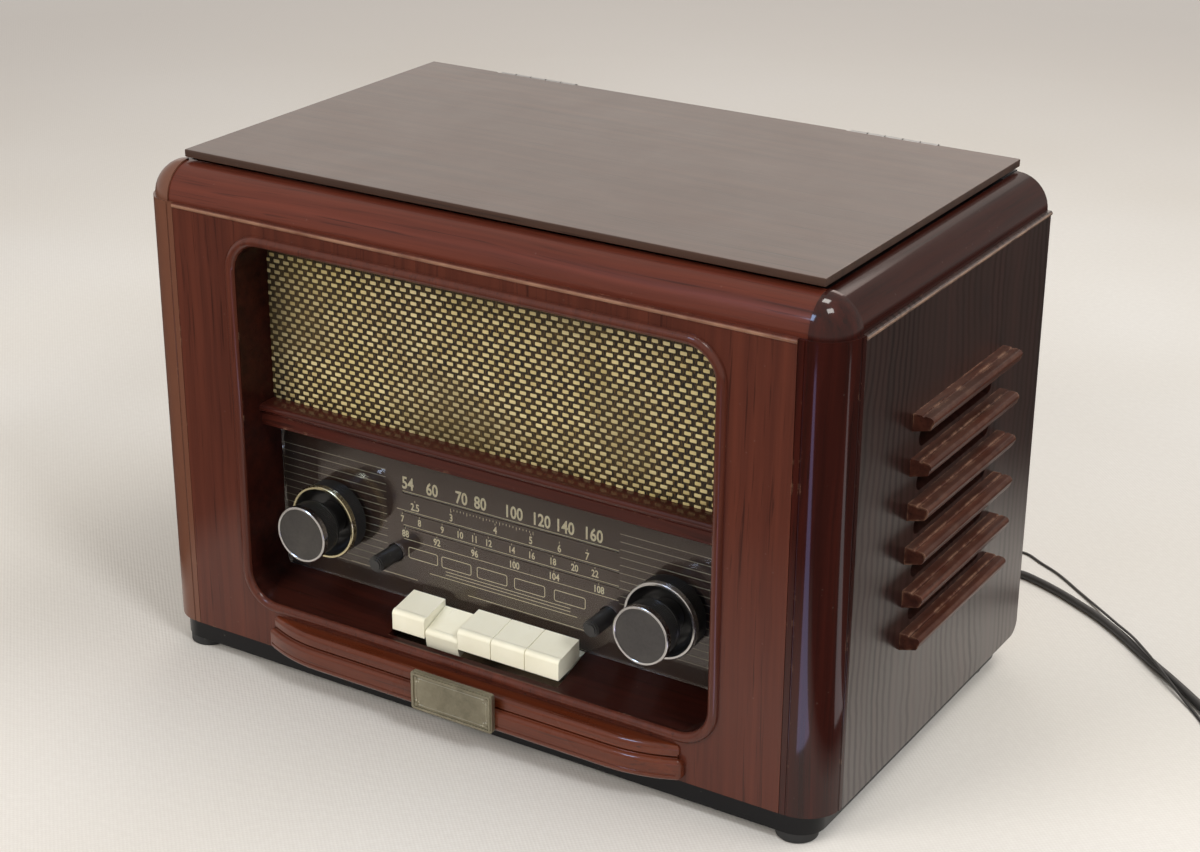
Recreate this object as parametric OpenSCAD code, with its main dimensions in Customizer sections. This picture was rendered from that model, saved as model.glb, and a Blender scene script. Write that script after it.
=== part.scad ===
// Radio with CD player in a wooden cabinet. Millimetres, +Z up, front towards -Y.
// The origin is the middle of the footprint, on the surface that the feet stand on.

/* [Cabinet] */
// Width over the side panels
cabinet_w = 400; // [396:1:410]
// Depth from the front face to the back edge of the side panels
cabinet_d = 229; // [226:1:235]
// Height of the side panels
panel_h = 237.4; // [236:0.2:240]
// Thickness of the side panels
side_t = 9; // [8:0.5:10]
// Thickness of the front panel
front_t = 10; // [9:0.5:11]
// Radius of the corner posts
post_r = 19.8; // [19:0.2:20.4]
// Radius of the rounded top rails
rail_r = 17.3; // [17:0.1:17.6]
// Gap between the rails and the closed lid
lid_gap = 2; // [1.6:0.1:2.4]
// Thickness of the lid
lid_t = 4; // [3.5:0.1:4.5]

/* [Base] */
// Height of the rubber feet
foot_h = 5; // [4:0.5:7]
// Radius of the rubber feet
foot_r = 10.3; // [9:0.1:10.4]
// Height of the black plinth
plinth_h = 10.5; // [10:0.5:12]
// How far the plinth stands in from each side
plinth_inset = 6; // [5:0.5:8]

/* [Front opening] */
// Half width of the recess between its walls
recess_half_w = 137.5; // [137:0.1:138]
// Height of the recess above the bottom of the side panels
recess_low = 27; // [26.6:0.1:27.4]
// Height of the top of the recess above the bottom of the side panels
recess_high = 224; // [223.5:0.1:224.5]
// Corner radius of the recess
recess_corner_r = 16; // [15:0.5:17]
// Wall of the recess liner
liner_t = 3.5; // [3:0.1:3.8]
// Distance of the dial glass behind the front face
glass_y = 28.5; // [28.4:0.1:29]
// Thickness of the dial glass
glass_t = 2; // [1.8:0.1:2.1]

/* [Controls] */
// Distance of each knob from the middle
knob_x = 101.6; // [100:0.2:103]
// Radius of the front knobs
knob_r = 15.1; // [14.5:0.1:15.4]
// Radius of the outer rings
ring_r = 19.8; // [19:0.1:20.2]
// Distance of each plunger from the middle
plunger_x = 65; // [63:0.5:67]
// Radius of the plungers
plunger_r = 4.5; // [4:0.1:4.5]
// Spacing of the piano keys
key_pitch = 20.32; // [20.2:0.02:20.4]
// Gap between two keys
key_gap = 0.42; // [0.4:0.02:0.6]
// Angle of a key that is pressed
key_angle = 9; // [7:0.5:9]

/* [Louvres] */
// Number of louvre slats on each side
slat_n = 6; // [4:1:6]
// Spacing of the slats
slat_pitch = 22.7; // [22:0.1:23]
// Length of the slats
slat_l = 104; // [96:1:110]
// How far the slats stand out
slat_d = 10.5; // [10:0.1:11]

/* [Disc drive] */
// Radius of the disc well
well_r = 62.5; // [61:0.5:64]
// Depth of the disc well
well_depth = 8; // [7:0.5:9]
// Distance of the disc centre behind the front face
disc_y = 122; // [118:1:126]

/* [Cords] */
// Diameter of the mains cord
mains_d = 4.6; // [4.4:0.1:4.8]
// Diameter of the aerial wire
aerial_d = 1.5; // [1.4:0.1:1.6]
// Turns in the mains coil
mains_turns = 6.5; // [4.5:1:6.5]
// Turns in the aerial coil
aerial_turns = 5.5; // [3.5:1:5.5]

/* [Hidden] */

// The rear cover and the sleeve of the mains cord, which is the rear-most piece
cover_y = cabinet_d - 4;
cover_t = 3;
relief_l = 26;
relief_end = cover_y + cover_t + relief_l;

// The front face lies so that the origin is midway between the nameplate and the sleeve's end
nameplate_reach = 15.5;
hinge_reach = 7;
front_y = -(relief_end - nameplate_reach) / 2;

// Heights above the standing surface
base_z = foot_h + plinth_h;
top_z = base_z + panel_h;
lid_z = top_z + rail_r + lid_gap;
recess_z0 = base_z + recess_low;
recess_z1 = base_z + recess_high;
rail_z = base_z + 121;
rail_h = 11.5;
shelf_back_z = base_z + 35.6;
knob_z = base_z + 73;
plunger_z = base_z + 59.8;
key_pivot_y = 45;
key_pivot_z = base_z + 38;

// Inner faces and the boards between them
half_w = cabinet_w / 2;
inner_x = half_w - side_t;
rail_x = half_w - 2 - rail_r;
rail_y = 2 + rail_r;
panel_x = half_w - 23;
board_t = 9;
deck_t = 3;
deck_z = top_z - deck_t;
floor_z = base_z + board_t;
liner_back = 40;
hinge_axis_y = cabinet_d + hinge_reach - 2.3;
hinge_axis_z = lid_z + 1.2;
hinge_x = 110;
knuckle_l = 10;

// Running clearance of a shaft in its bore
run = 0.05;
shaft_r = 3;
sleeve_r = 4.6;
key_rod_r = 2;
rod_r = 1.5;
wall_gap = 0.3;

wood = "#6b2f1a";
wood_dark = "#54301c";
wood_light = "#8a5a34";
gloss_black = "#151312";
chrome = "#c9c9cc";

// Moves a piece from the front face's frame to the row's frame
module set_back() {
    translate([0, front_y, 0]) children();
}

// Draws its children at both sides, mirrored
module both_sides() {
    children();
    mirror([1, 0, 0]) children();
}

// A rod along +Y from y0 to y1
module rod_y(r, y0, y1) {
    translate([0, y0, 0]) rotate([-90, 0, 0]) cylinder(r = r, h = y1 - y0, $fn = 64);
}

// A rod along X, centred
module rod_x(r, l) {
    rotate([0, 90, 0]) cylinder(r = r, h = l, center = true, $fn = 64);
}

// An upright plate in the XZ plane, from y0 to y1, drawn by a 2D outline in x and z
module plate_y(y0, y1) {
    translate([0, y1, 0]) rotate([90, 0, 0]) linear_extrude(y1 - y0) children();
}

// A bar along X from x0 to x1, drawn by a 2D section in y and z
module bar_x(x0, x1) {
    translate([x0, 0, 0]) rotate([90, 0, 90]) linear_extrude(x1 - x0) children();
}

// A bar along Y from y0 to y1, drawn by a 2D section in x and z
module bar_y(y0, y1) {
    plate_y(y0, y1) children();
}

// A rectangle with true round corners
module round_rect(x0, x1, z0, z1, r) {
    translate([x0 + r, z0]) square([x1 - x0 - 2 * r, z1 - z0]);
    translate([x0, z0 + r]) square([x1 - x0, z1 - z0 - 2 * r]);
    for (x = [x0 + r, x1 - r], z = [z0 + r, z1 - r])
        translate([x, z]) circle(r = r, $fn = 64);
}

// The outline of the recess, grown by g
module recess_outline(g) {
    round_rect(-recess_half_w - g, recess_half_w + g, recess_z0 - g, recess_z1 + g,
               recess_corner_r + g);
}

// A board between the sides, from the front panel to y1, notched round the corner posts
module inside_outline(y1) {
    gap = 0.2;
    translate([-panel_x + 0.5, front_t + gap]) square([2 * panel_x - 1, 20]);
    translate([-inner_x + gap, post_r + gap]) square([2 * (inner_x - gap), y1 - post_r - gap]);
}

// The quarter round of the top rails, from the flat inner face outwards
module rail_section(r) {
    intersection() {
        circle(r = r, $fn = 96);
        square([r, r]);
    }
    translate([-0.7, 0]) square([0.8, r]);
}

module front_panel() {
    color(wood) set_back() difference() {
        union() {
            plate_y(0, front_t)
                translate([-panel_x + wall_gap, base_z]) square([2 * (panel_x - wall_gap), panel_h]);
            translate([0, 0.4, top_z - 1.3]) rod_x(1.2, 2 * (panel_x - wall_gap));
        }
        plate_y(-1, front_t + 1) recess_outline(liner_t);
        key_slot();
    }
}

// The space that the pressed keys sink into, below the recess
module key_slot() {
    w = 5 * key_pitch / 2 + 0.8;
    translate([-w, 3.2, recess_z0 - 5]) cube([2 * w, 60, 12]);
}

// Half-round bead round the opening, in front of the liner's edge
module opening_bead() {
    bead = 2.7;
    straight_x = recess_half_w + 0.4 - recess_corner_r;
    color(wood) set_back() {
        half_bead_run(bead, straight_x);
        for (sx = [-1, 1], sz = [0, 1])
            bead_corner(bead, sx, sz, straight_x);
    }
}

module bead_section(bead) {
    intersection() {
        circle(r = bead, $fn = 48);
        translate([-bead, -bead]) square([2 * bead, bead]);
    }
}

// The bead's four straight runs
module half_bead_run(bead, straight_x) {
    mid_z = (recess_z0 + recess_z1) / 2;
    half_z = (recess_z1 - recess_z0) / 2 - recess_corner_r;
    off = recess_half_w + 0.4 + bead;
    for (s = [-1, 1]) {
        translate([s * off, 0, mid_z - half_z]) linear_extrude(2 * half_z) bead_section(bead);
        translate([-straight_x, 0, mid_z + s * (half_z + recess_corner_r + bead)])
            rotate([0, 90, 0]) linear_extrude(2 * straight_x) bead_section(bead);
    }
}

// One rounded corner of the bead
module bead_corner(bead, sx, sz, straight_x) {
    z = sz == 1 ? recess_z1 - recess_corner_r : recess_z0 + recess_corner_r;
    start = sz == 1 ? (sx == 1 ? 0 : 90) : (sx == 1 ? 270 : 180);
    translate([sx * straight_x, 0, z]) rotate([90, 0, 0]) rotate([0, 0, start])
        rotate_extrude(angle = 90, $fn = 96)
            translate([recess_corner_r + bead, 0]) rotate(180) bead_section(bead);
}

// Height of the top edge of slat i
function slat_top(i) = base_z + 182 - slat_pitch * i;

// A wooden side, drawn on the right, with its ventilation slots and inner battens
module side_panel() {
    slot_r = 4.7;
    difference() {
        translate([inner_x, 0, 0]) bar_x(0, side_t) difference() {
            translate([post_r, base_z]) square([cabinet_d - post_r, panel_h]);
            back_corner();
        }
        for (i = [0 : slat_n - 2])
            translate([inner_x - 1, 0, slat_top(i) - 15.8]) bar_x(0, side_t + 2) {
                translate([87, -slot_r]) square([75, 2 * slot_r]);
                for (y = [87, 162]) translate([y, 0]) circle(r = slot_r, $fn = 48);
            }
    }
    translate([half_w - 0.4, (post_r + cabinet_d) / 2, top_z - 1.3]) rotate([0, 0, 90])
        rod_x(1.2, cabinet_d - post_r);
    translate([inner_x - 8, front_t + 10, deck_z - 8]) cube([8.5, 190, 8]);
    difference() {
        translate([inner_x - 10, cover_y - 12, floor_z]) cube([10.5, 12, 200]);
        for (z = screw_z) translate([screw_x, 0, z]) rod_y(1.55, cover_y - 11, cover_y + 1);
    }
}

// Rounds the lower back corner of a side
module back_corner() {
    r = 8;
    translate([cabinet_d - r, base_z - 1]) difference() {
        square([r + 1, r + 1]);
        translate([0, r + 1]) circle(r = r, $fn = 64);
    }
}

module left_side_panel() {
    color(wood_dark) set_back() mirror([1, 0, 0]) side_panel();
}

module right_side_panel() {
    color(wood_dark) set_back() side_panel();
}

// Quarter-round posts at the front corners, with a quirk that forms a bead
module corner_posts() {
    x = half_w - post_r;
    color(wood) set_back() both_sides() translate([0, 0, base_z]) linear_extrude(panel_h)
        difference() {
            union() {
                intersection() {
                    translate([x, post_r]) circle(r = post_r, $fn = 96);
                    translate([x, 0]) square([post_r, post_r - 0.05]);
                }
                translate([panel_x, 0]) square([x - panel_x + 0.1, post_r - 0.05]);
            }
            translate([half_w, post_r - 3.6]) circle(r = 0.8, $fn = 32);
            translate([panel_x + 3.4, 0]) circle(r = 0.5, $fn = 32);
        }
}

// Domed blocks between the ends of the top rails
module corner_blocks() {
    r = rail_r + 0.8;
    color(wood) set_back() both_sides() intersection() {
        translate([rail_x, rail_y, top_z]) sphere(r = r, $fn = 96);
        translate([rail_x + 0.1, rail_y - r - 1, top_z]) cube([r + 1, r + 0.9, r + 1]);
    }
}

module front_top_rail() {
    color(wood) set_back() translate([-rail_x, rail_y, top_z])
        bar_x(0, 2 * rail_x) mirror([1, 0]) rail_section(rail_r);
}

module side_top_rails() {
    color(wood) set_back() both_sides() translate([rail_x, 0, top_z])
        bar_y(rail_y, cabinet_d) rail_section(rail_r);
}

module bottom_board() {
    color(wood_dark) set_back() translate([0, 0, base_z])
        linear_extrude(board_t) inside_outline(cover_y);
}

module plinth() {
    x = half_w - plinth_inset;
    color(gloss_black) set_back() translate([0, 0, foot_h])
        linear_extrude(plinth_h) round_rect(-x, x, 1.5, cabinet_d - 4, 14);
}

module feet() {
    color("#2b2b2b") set_back() both_sides() for (y = [12, 202]) translate([181, y, 0]) {
        cylinder(r = foot_r - 0.6, h = 0.7, $fn = 64);
        translate([0, 0, 0.6]) cylinder(r = foot_r, h = foot_h - 0.6, $fn = 64);
    }
}

// A slat's section: y is how far it stands out, z is down from its top edge
module slat_section() {
    difference() {
        union() {
            polygon([[0, 0], [4.5, 0], [slat_d - 2.4, -0.4], [slat_d - 0.2, -2.6],
                     [slat_d - 1, -5.6], [slat_d - 1.6, -6.6], [0, -9]]);
            translate([slat_d - 2.2, -2.6]) circle(r = 2.2, $fn = 48);
        }
        translate([5.2, 0.1]) circle(r = 0.8, $fn = 32);
        translate([slat_d - 0.2, -5.5]) circle(r = 0.5, $fn = 24);
    }
}

module louvre_slats() {
    color(wood_light) set_back() both_sides() for (i = [0 : slat_n - 1])
        translate([half_w, 0, slat_top(i)]) bar_y(126 - slat_l / 2, 126 + slat_l / 2) slat_section();
}

// The apron's section: x is the distance behind the lowest rib's nose, y the height
module apron_section() {
    nose = 12.2;
    difference() {
        union() {
            translate([0, 1.5]) {
                translate([2.5, 0]) square([nose + 14, 11.4]);
                translate([0, 2.5]) square([6, 6.4]);
                for (z = [2.5, 8.9]) translate([2.5, z]) circle(r = 2.5, $fn = 48);
            }
            translate([5.7, 12]) square([nose + 10, 7.7]);
            translate([2.9, 14]) square([6, 2.9]);
            translate([5.7, 16.9]) circle(r = 2.8, $fn = 48);
            translate([5.7, 15.4]) circle(r = 2.8, $fn = 48);
        }
        translate([0, 5.2]) circle(r = 0.5, $fn = 24);
        translate([2.6, 13.1]) circle(r = 0.5, $fn = 24);
    }
}

// Moulding under the opening: a straight run whose ends bend back to the panel
module apron_moulding() {
    flat_x = 88;
    sweep_r = 85;
    end_x = 124;
    nose = 12.2;
    turn = asin((end_x - flat_x) / sweep_r);
    color(wood) set_back() translate([0, 0, base_z]) intersection() {
        union() {
            translate([0, -nose, 0]) bar_x(-flat_x, flat_x) apron_section();
            both_sides() translate([flat_x, sweep_r - nose, 0]) rotate([0, 0, -90])
                rotate_extrude(angle = turn, $fn = 180)
                    translate([sweep_r, 0]) mirror([1, 0]) apron_section();
        }
        translate([-end_x - 5, -nose - 5, 0]) cube([2 * end_x + 10, nose + 5, 30]);
    }
}

// Bare plate with a thin raised border and corner studs
module nameplate() {
    x = 24.6;
    z0 = base_z + 1.5;
    z1 = base_z + 22.9;
    face = -nameplate_reach + 0.6;
    color("#8f8466") set_back() {
        plate_y(face, -12.2) round_rect(-x, x, z0, z1, 1.6);
        plate_y(-nameplate_reach, face + 0.1) difference() {
            round_rect(-x + 0.8, x - 0.8, z0 + 0.8, z1 - 0.8, 1.2);
            round_rect(-x + 1.8, x - 1.8, z0 + 1.8, z1 - 1.8, 0.6);
        }
        for (sx = [-x + 3.2, x - 3.2], z = [z0 + 3.2, z1 - 3.2])
            translate([sx, 0, z]) rod_y(0.9, -nameplate_reach + 0.1, face + 0.1);
    }
}

module middle_rail() {
    color(wood) set_back() bar_x(-recess_half_w, recess_half_w) difference() {
        union() {
            translate([14.2, rail_z]) square([glass_y - 14.4, rail_h]);
            translate([14.2, rail_z + rail_h - 2]) circle(r = 2, $fn = 48);
        }
        translate([14.2, rail_z + rail_h - 4.6]) circle(r = 0.6, $fn = 24);
        translate([14.2, rail_z + 0.6]) circle(r = 0.6, $fn = 24);
    }
}

// Lines the recess, with the sloping shelf under the dial and the slot for the keys
module recess_liner() {
    color("#4a2417") set_back() difference() {
        union() {
            plate_y(0, liner_back) difference() {
                recess_outline(liner_t);
                recess_outline(0);
            }
            intersection() {
                bar_x(-recess_half_w - 1, recess_half_w + 1) polygon([
                    [1.5, recess_z0 - 1], [1.5, recess_z0], [glass_y, shelf_back_z],
                    [glass_y + 3.4, shelf_back_z], [glass_y + 3.4, recess_z0 - 1]]);
                plate_y(0, liner_back) recess_outline(0.5);
            }
        }
        key_slot();
        translate([-key_pitch * 2.5 - 0.8, 3.2, recess_z0]) cube([5 * key_pitch + 1.6, 60, 20]);
    }
}

// Board behind the cloth, with a hole for each speaker
speaker_x = 78;
speaker_z = rail_z + rail_h + 45;
module speaker_baffle() {
    color("#3a2a20") set_back() plate_y(25, 33) difference() {
        intersection() {
            recess_outline(0);
            translate([-recess_half_w, rail_z + rail_h + 0.3]) square([2 * recess_half_w, 100]);
        }
        for (s = [-1, 1]) translate([s * speaker_x, speaker_z]) circle(r = 34, $fn = 96);
    }
}

module grille_cloth() {
    color("#2a1d14") set_back() plate_y(24, 24.9) intersection() {
        recess_outline(0);
        translate([-recess_half_w, rail_z + rail_h + 0.1]) square([2 * recess_half_w, 100]);
    }
}

module speakers() {
    color("#222222") set_back() both_sides() translate([speaker_x, 33, speaker_z])
        rotate([-90, 0, 0]) rotate_extrude($fn = 96) polygon([
            [0, 14], [10, 14], [31, 1.2], [34, 0], [40, 0], [40, 2], [33, 2.2],
            [15, 20], [22, 20], [22, 34], [0, 34]]);
}

// Holes for the sleeves and plungers, through the glass, the plate and the chassis
module control_holes() {
    r = 5.2;
    for (s = [-1, 1]) {
        translate([s * knob_x, knob_z]) circle(r = r, $fn = 48);
        translate([s * plunger_x, plunger_z]) circle(r = r, $fn = 48);
    }
}

module glass_outline(gap) {
    difference() {
        intersection() {
            recess_outline(-gap);
            translate([-recess_half_w, shelf_back_z + 0.2])
                square([2 * recess_half_w, rail_z + rail_h - shelf_back_z - 0.6]);
        }
        control_holes();
    }
}

module dial_glass() {
    color([0.7, 0.75, 0.75, 0.4]) set_back() plate_y(glass_y, glass_y + glass_t) glass_outline(0.1);
}

// Black printed plate with a slit along each of the three scale lines
scale_z = [base_z + 95, base_z + 84, base_z + 75.6];
module dial_plate() {
    color(gloss_black) set_back() plate_y(glass_y + glass_t + 0.2, glass_y + glass_t + 1.2)
        difference() {
            glass_outline(0.1);
            for (z = scale_z) translate([-60, z - 0.45]) square([130, 0.9]);
        }
}

// Steel panel behind the dial that carries the controls and the pointer's rail
rail_axis_y = 35.4;
rail_axis_z = base_z + 104.5;
module dial_chassis() {
    x = recess_half_w + liner_t - 1;
    color("#9a9ea1") set_back() {
        plate_y(liner_back, liner_back + 1.2) difference() {
            translate([-x, base_z + 51]) square([2 * x, 66]);
            for (s = [-1, 1]) {
                translate([s * knob_x, knob_z]) circle(r = 7.1, $fn = 48);
                translate([s * plunger_x, plunger_z]) circle(r = 5.2, $fn = 48);
            }
        }
        translate([0, rail_axis_y, rail_axis_z]) rod_x(rod_r, 250);
        for (s = [-1, 1]) translate([s * 127, 0, rail_axis_z]) rod_y(3, rail_axis_y - 3, liner_back + 0.1);
    }
}

// Two controls with their bushes, and the two push switches
module panel_controls() {
    back = liner_back + 1.2;
    color("#8d8f92") set_back() both_sides() {
        translate([knob_x, 0, knob_z]) difference() {
            union() {
                rod_y(7, liner_back - 4, back + 0.1);
                rod_y(12.5, back, back + 19);
            }
            rod_y(sleeve_r + run, liner_back - 5, back + 10);
            rod_y(shaft_r + run, back + 9, back + 16);
        }
        difference() {
            translate([plunger_x - 7.5, back, plunger_z - 7.5]) cube([15, 17, 15]);
            translate([plunger_x, 0, plunger_z]) rod_y(plunger_r + run, back - 1, back + 14);
        }
    }
}

// Variable capacitor on the main board, and the drum that turns it
drum_x = 62;
drum_z = floor_z + 34;
module tuning_capacitor() {
    color("#b5b7b9") set_back() difference() {
        translate([drum_x - 18, 68, floor_z + 7]) cube([36, 34, 42]);
        translate([drum_x, 0, drum_z]) rod_y(shaft_r + run, 67, 90);
    }
}

module tuning_drum() {
    color("#d8d4c8") set_back() translate([drum_x, 0, drum_z]) {
        difference() {
            rod_y(22, 60, 66);
            translate([0, 63, 0]) rotate([-90, 0, 0]) rotate_extrude($fn = 96)
                translate([22.4, 0]) circle(r = 1.6, $fn = 24);
        }
        rod_y(shaft_r, 65, 88);
    }
}

module main_board() {
    color("#2e5a36") set_back() {
        translate([-70, 67, floor_z + 5.4]) cube([170, 95, 1.6]);
        for (x = [-64, 94], y = [73, 156]) translate([x, y, floor_z]) cylinder(r = 3, h = 5.5, $fn = 32);
        for (i = [0 : 3]) translate([-50 + 22 * i, 130, floor_z + 6.9])
            cylinder(r = 6 + i % 2, h = 18 + 3 * (i % 2), $fn = 32);
        translate([-50, 90, floor_z + 6.9]) cube([30, 14, 4]);
        translate([0, 140, floor_z + 6.9]) cube([60, 3, 28]);
    }
}

module transformer() {
    color("#6d6f72") set_back() {
        translate([-160, 110, floor_z]) cube([62, 62, 3]);
        translate([-154, 118, floor_z + 2.9]) cube([50, 46, 44]);
        translate([-147, 110, floor_z + 9]) cube([36, 62, 30]);
    }
}

// Bracket on the bottom board that holds the keys' pivot rod
module key_frame() {
    w = 2.5 * key_pitch;
    color("#9a9ea1") set_back() {
        translate([-w - 3.4, 36, floor_z]) cube([2 * w + 6.8, 24, 1.5]);
        both_sides() translate([w + 1.4, 0, 0]) difference() {
            translate([0, liner_back + 0.4, floor_z + 1.4])
                cube([2, 13.6, key_pivot_z - floor_z + 4]);
            translate([0, key_pivot_y, key_pivot_z]) rod_x(key_rod_r, 20);
        }
    }
}

module key_rod() {
    color(chrome) set_back() translate([0, key_pivot_y, key_pivot_z])
        rod_x(key_rod_r, 5 * key_pitch + 9);
}

// A key's section in y and z, unpressed: the block in front, its arm and its pivot eye
module key_section() {
    top_r = 2.6;
    difference() {
        union() {
            polygon([[5.5, base_z + 29.8], [14.5, base_z + 31], [44, base_z + 30.6],
                     [48.6, base_z + 36.4], [41.4, base_z + 36.4], [39, base_z + 34.2],
                     [24.6, base_z + 34.2], [24.6, base_z + 44.1], [8.3, base_z + 40.8],
                     [5.5, base_z + 38.2]]);
            translate([8.04, base_z + 38.4]) circle(r = top_r, $fn = 48);
            translate([key_pivot_y, key_pivot_z]) circle(r = 4.6, $fn = 48);
        }
        translate([key_pivot_y, key_pivot_z]) circle(r = key_rod_r + run, $fn = 48);
    }
}

// Key i from the left, turned down by angle
module piano_key(i, angle = 0) {
    w = key_pitch - key_gap;
    color("#e9dfc6") set_back() translate([(i - 2) * key_pitch, key_pivot_y, key_pivot_z])
        rotate([angle, 0, 0]) translate([0, -key_pivot_y, -key_pivot_z])
            bar_x(-w / 2, w / 2) key_section();
}

module power_key() { piano_key(0); }
module fm_key() { piano_key(1, key_angle); }
module am_key() { piano_key(2); }
module cd_key() { piano_key(3); }
module aux_key() { piano_key(4); }

// Moulded deck under the lid: disc well, sled window and the ledge for the hinges
sled_x0 = 14;
window_l = 40;
motor_r = 11;
module cd_deck() {
    well_z = top_z - well_depth;
    color("#26262a") set_back() {
        difference() {
            union() {
                translate([0, 0, deck_z]) linear_extrude(deck_t) inside_outline(cabinet_d - 0.2);
                translate([0, disc_y, well_z - 2.5]) cylinder(r = well_r + 2.5, h = well_depth, $fn = 128);
                translate([-20, disc_y - 26, well_z - 2.5]) cube([110, 80, 2.5]);
            }
            translate([0, disc_y, well_z]) cylinder(r = well_r, h = well_depth + 1, $fn = 128);
            translate([0, disc_y, well_z - 3]) cylinder(r = 5, h = 4, $fn = 48);
            translate([18, disc_y - 13, well_z - 3]) cube([window_l, 26, 4]);
        }
        translate([-rail_x + 1.4, cabinet_d - 16, top_z - 0.1])
            cube([2 * rail_x - 2.8, 16 + 2.4, rail_r + 0.1]);
        for (x = [sled_x0 - 5, sled_x0 + 66], s = [-1, 1])
            translate([x, disc_y + s * 17 - 3, well_z - 14]) difference() {
                cube([4, 6, 11.6]);
                translate([2, 3, 3.6]) rod_x(rod_r, 10);
            }
        translate([gear_x, disc_y + gear_y, well_z - 13]) cylinder(r = 1.5, h = 11, $fn = 32);
    }
}

module deck_motors() {
    z = top_z - well_depth - 2.5;
    color(chrome) set_back() {
        difference() {
            translate([0, disc_y, z - 20]) cylinder(r = motor_r, h = 20, $fn = 64);
            translate([0, disc_y, z - 14]) cylinder(r = 1 + run, h = 15, $fn = 32);
        }
        translate([gear_x, disc_y + gear_y + 16, z - 16]) cylinder(r = 7, h = 16, $fn = 64);
    }
}

module spindle_hub() {
    z = top_z - well_depth;
    color("#101012") set_back() translate([0, disc_y, z]) {
        translate([0, 0, -12]) cylinder(r = 1, h = 13, $fn = 32);
        translate([0, 0, 0.8]) cylinder(r = 15, h = 2.2, $fn = 96);
        translate([0, 0, 2.9]) cylinder(r = 7.3, h = 2.2, $fn = 64);
        translate([0, 0, 5]) cylinder(r1 = 7.3, r2 = 4.5, h = 2, $fn = 64);
    }
}

module sled_rods() {
    color(chrome) set_back() for (s = [-1, 1])
        translate([sled_x0 + 32.5, disc_y + s * 17, top_z - well_depth - 10.4]) rod_x(rod_r, 75);
}

// Optical sled with its lens, and a toothed rack along one side
gear_x = 62;
gear_y = 29.2;
gear_r = 6;
module laser_sled() {
    well_z = top_z - well_depth;
    color("#3c3c40") set_back() translate([sled_x0, disc_y, well_z]) {
        difference() {
            translate([0, -20.4, -13]) cube([24, 40.8, 5.4]);
            for (s = [-1, 1]) translate([12, s * 17, -10.4]) rod_x(rod_r + run, 40);
        }
        translate([5, -9, -8]) cube([16, 18, 5.1]);
        translate([13, 0, -3]) cylinder(r = 3.6, h = 2.6, $fn = 48);
        translate([0, 0, -12]) linear_extrude(4) rack_outline();
    }
}

// Straight-sided teeth, a small gap away from the pinion
module rack_outline() {
    pitch = PI * gear_r * 2 / 12;
    translate([0, 20.3]) square([54, 1.4]);
    for (i = [7 : 16]) translate([i * pitch, 21.6])
        polygon([[0, 0], [pitch * 0.6, 0], [pitch * 0.45, 0.8], [pitch * 0.15, 0.8]]);
}

module sled_gear() {
    z = top_z - well_depth - 12.4;
    color("#dcd9cf") set_back() translate([gear_x, disc_y + gear_y, z]) difference() {
        linear_extrude(5) union() {
            circle(r = gear_r - 0.9, $fn = 64);
            for (i = [0 : 11]) rotate(i * 30)
                polygon([[-1, 4], [1, 4], [0.45, gear_r + 0.3], [-0.45, gear_r + 0.3]]);
        }
        translate([0, 0, -1]) cylinder(r = 1.5 + run, h = 7, $fn = 48);
    }
}

// Back of the cabinet, with vents, screw holes and the cord holes
screw_x = half_w - side_t - 5;
screw_z = [base_z + 22, base_z + 110, base_z + 196];
mains_exit = [130, 0, base_z + 30];
aerial_exit = [100, 0, base_z + 95];
module rear_cover() {
    color("#2b211b") set_back() plate_y(cover_y, cover_y + cover_t) difference() {
        translate([-inner_x + 0.2, floor_z - board_t + 0.2])
            square([2 * inner_x - 0.4, deck_z - floor_z + board_t - 0.4]);
        for (s = [-1, 1], z = screw_z) translate([s * screw_x, z]) circle(r = 1.7, $fn = 32);
        translate([mains_exit[0], mains_exit[2]]) circle(r = 5, $fn = 48);
        translate([aerial_exit[0], aerial_exit[2]]) circle(r = 3, $fn = 48);
        for (i = [-2 : 2], j = [0 : 4]) translate([i * 52 - 19, base_z + 130 + j * 14])
            square([38, 3.6]);
    }
}

module rear_cover_screws() {
    color(chrome) set_back() both_sides() for (z = screw_z) translate([screw_x, 0, z]) {
        rod_y(1.5, cover_y - 9, cover_y + cover_t + 0.1);
        difference() {
            translate([0, cover_y + cover_t, 0]) intersection() {
                rod_y(3, 0, 2);
                translate([0, -2.3, 0]) sphere(r = 4, $fn = 48);
            }
            for (a = [0, 90]) rotate([0, a, 0])
                translate([-2, cover_y + cover_t + 0.9, -0.3]) cube([4, 2, 0.6]);
        }
    }
}

// Tapered sleeve round the mains cord, held in the rear cover by a groove
module strain_relief() {
    y0 = cover_y + cover_t;
    color("#1a1a1a") set_back() translate([mains_exit[0], 0, mains_exit[2]]) difference() {
        union() {
            rod_y(7, cover_y - 3, cover_y);
            rod_y(5, cover_y - 1, y0 + 1);
            translate([0, y0, 0]) rotate([-90, 0, 0]) cylinder(r1 = 7, r2 = 3.5, h = relief_l, $fn = 64);
        }
        for (i = [0 : 3]) translate([0, y0 + 5 + i * 5, 0]) rotate([-90, 0, 0])
            rotate_extrude($fn = 64) translate([6.9 - i * 0.66, 0]) circle(r = 0.8, $fn = 24);
    }
}

gland_l = 7.9;
module aerial_gland() {
    y0 = cover_y + cover_t;
    color("#1a1a1a") set_back() translate([aerial_exit[0], 0, aerial_exit[2]]) {
        rod_y(4.5, cover_y - 2, cover_y);
        rod_y(3, cover_y - 1, y0 + 1);
        rod_y(4.5, y0, y0 + 2);
        translate([0, y0 + 1.9, 0]) rotate([-90, 0, 0])
            cylinder(r1 = 2.6, r2 = 1.4, h = gland_l - 1.9, $fn = 48);
    }
}

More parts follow.
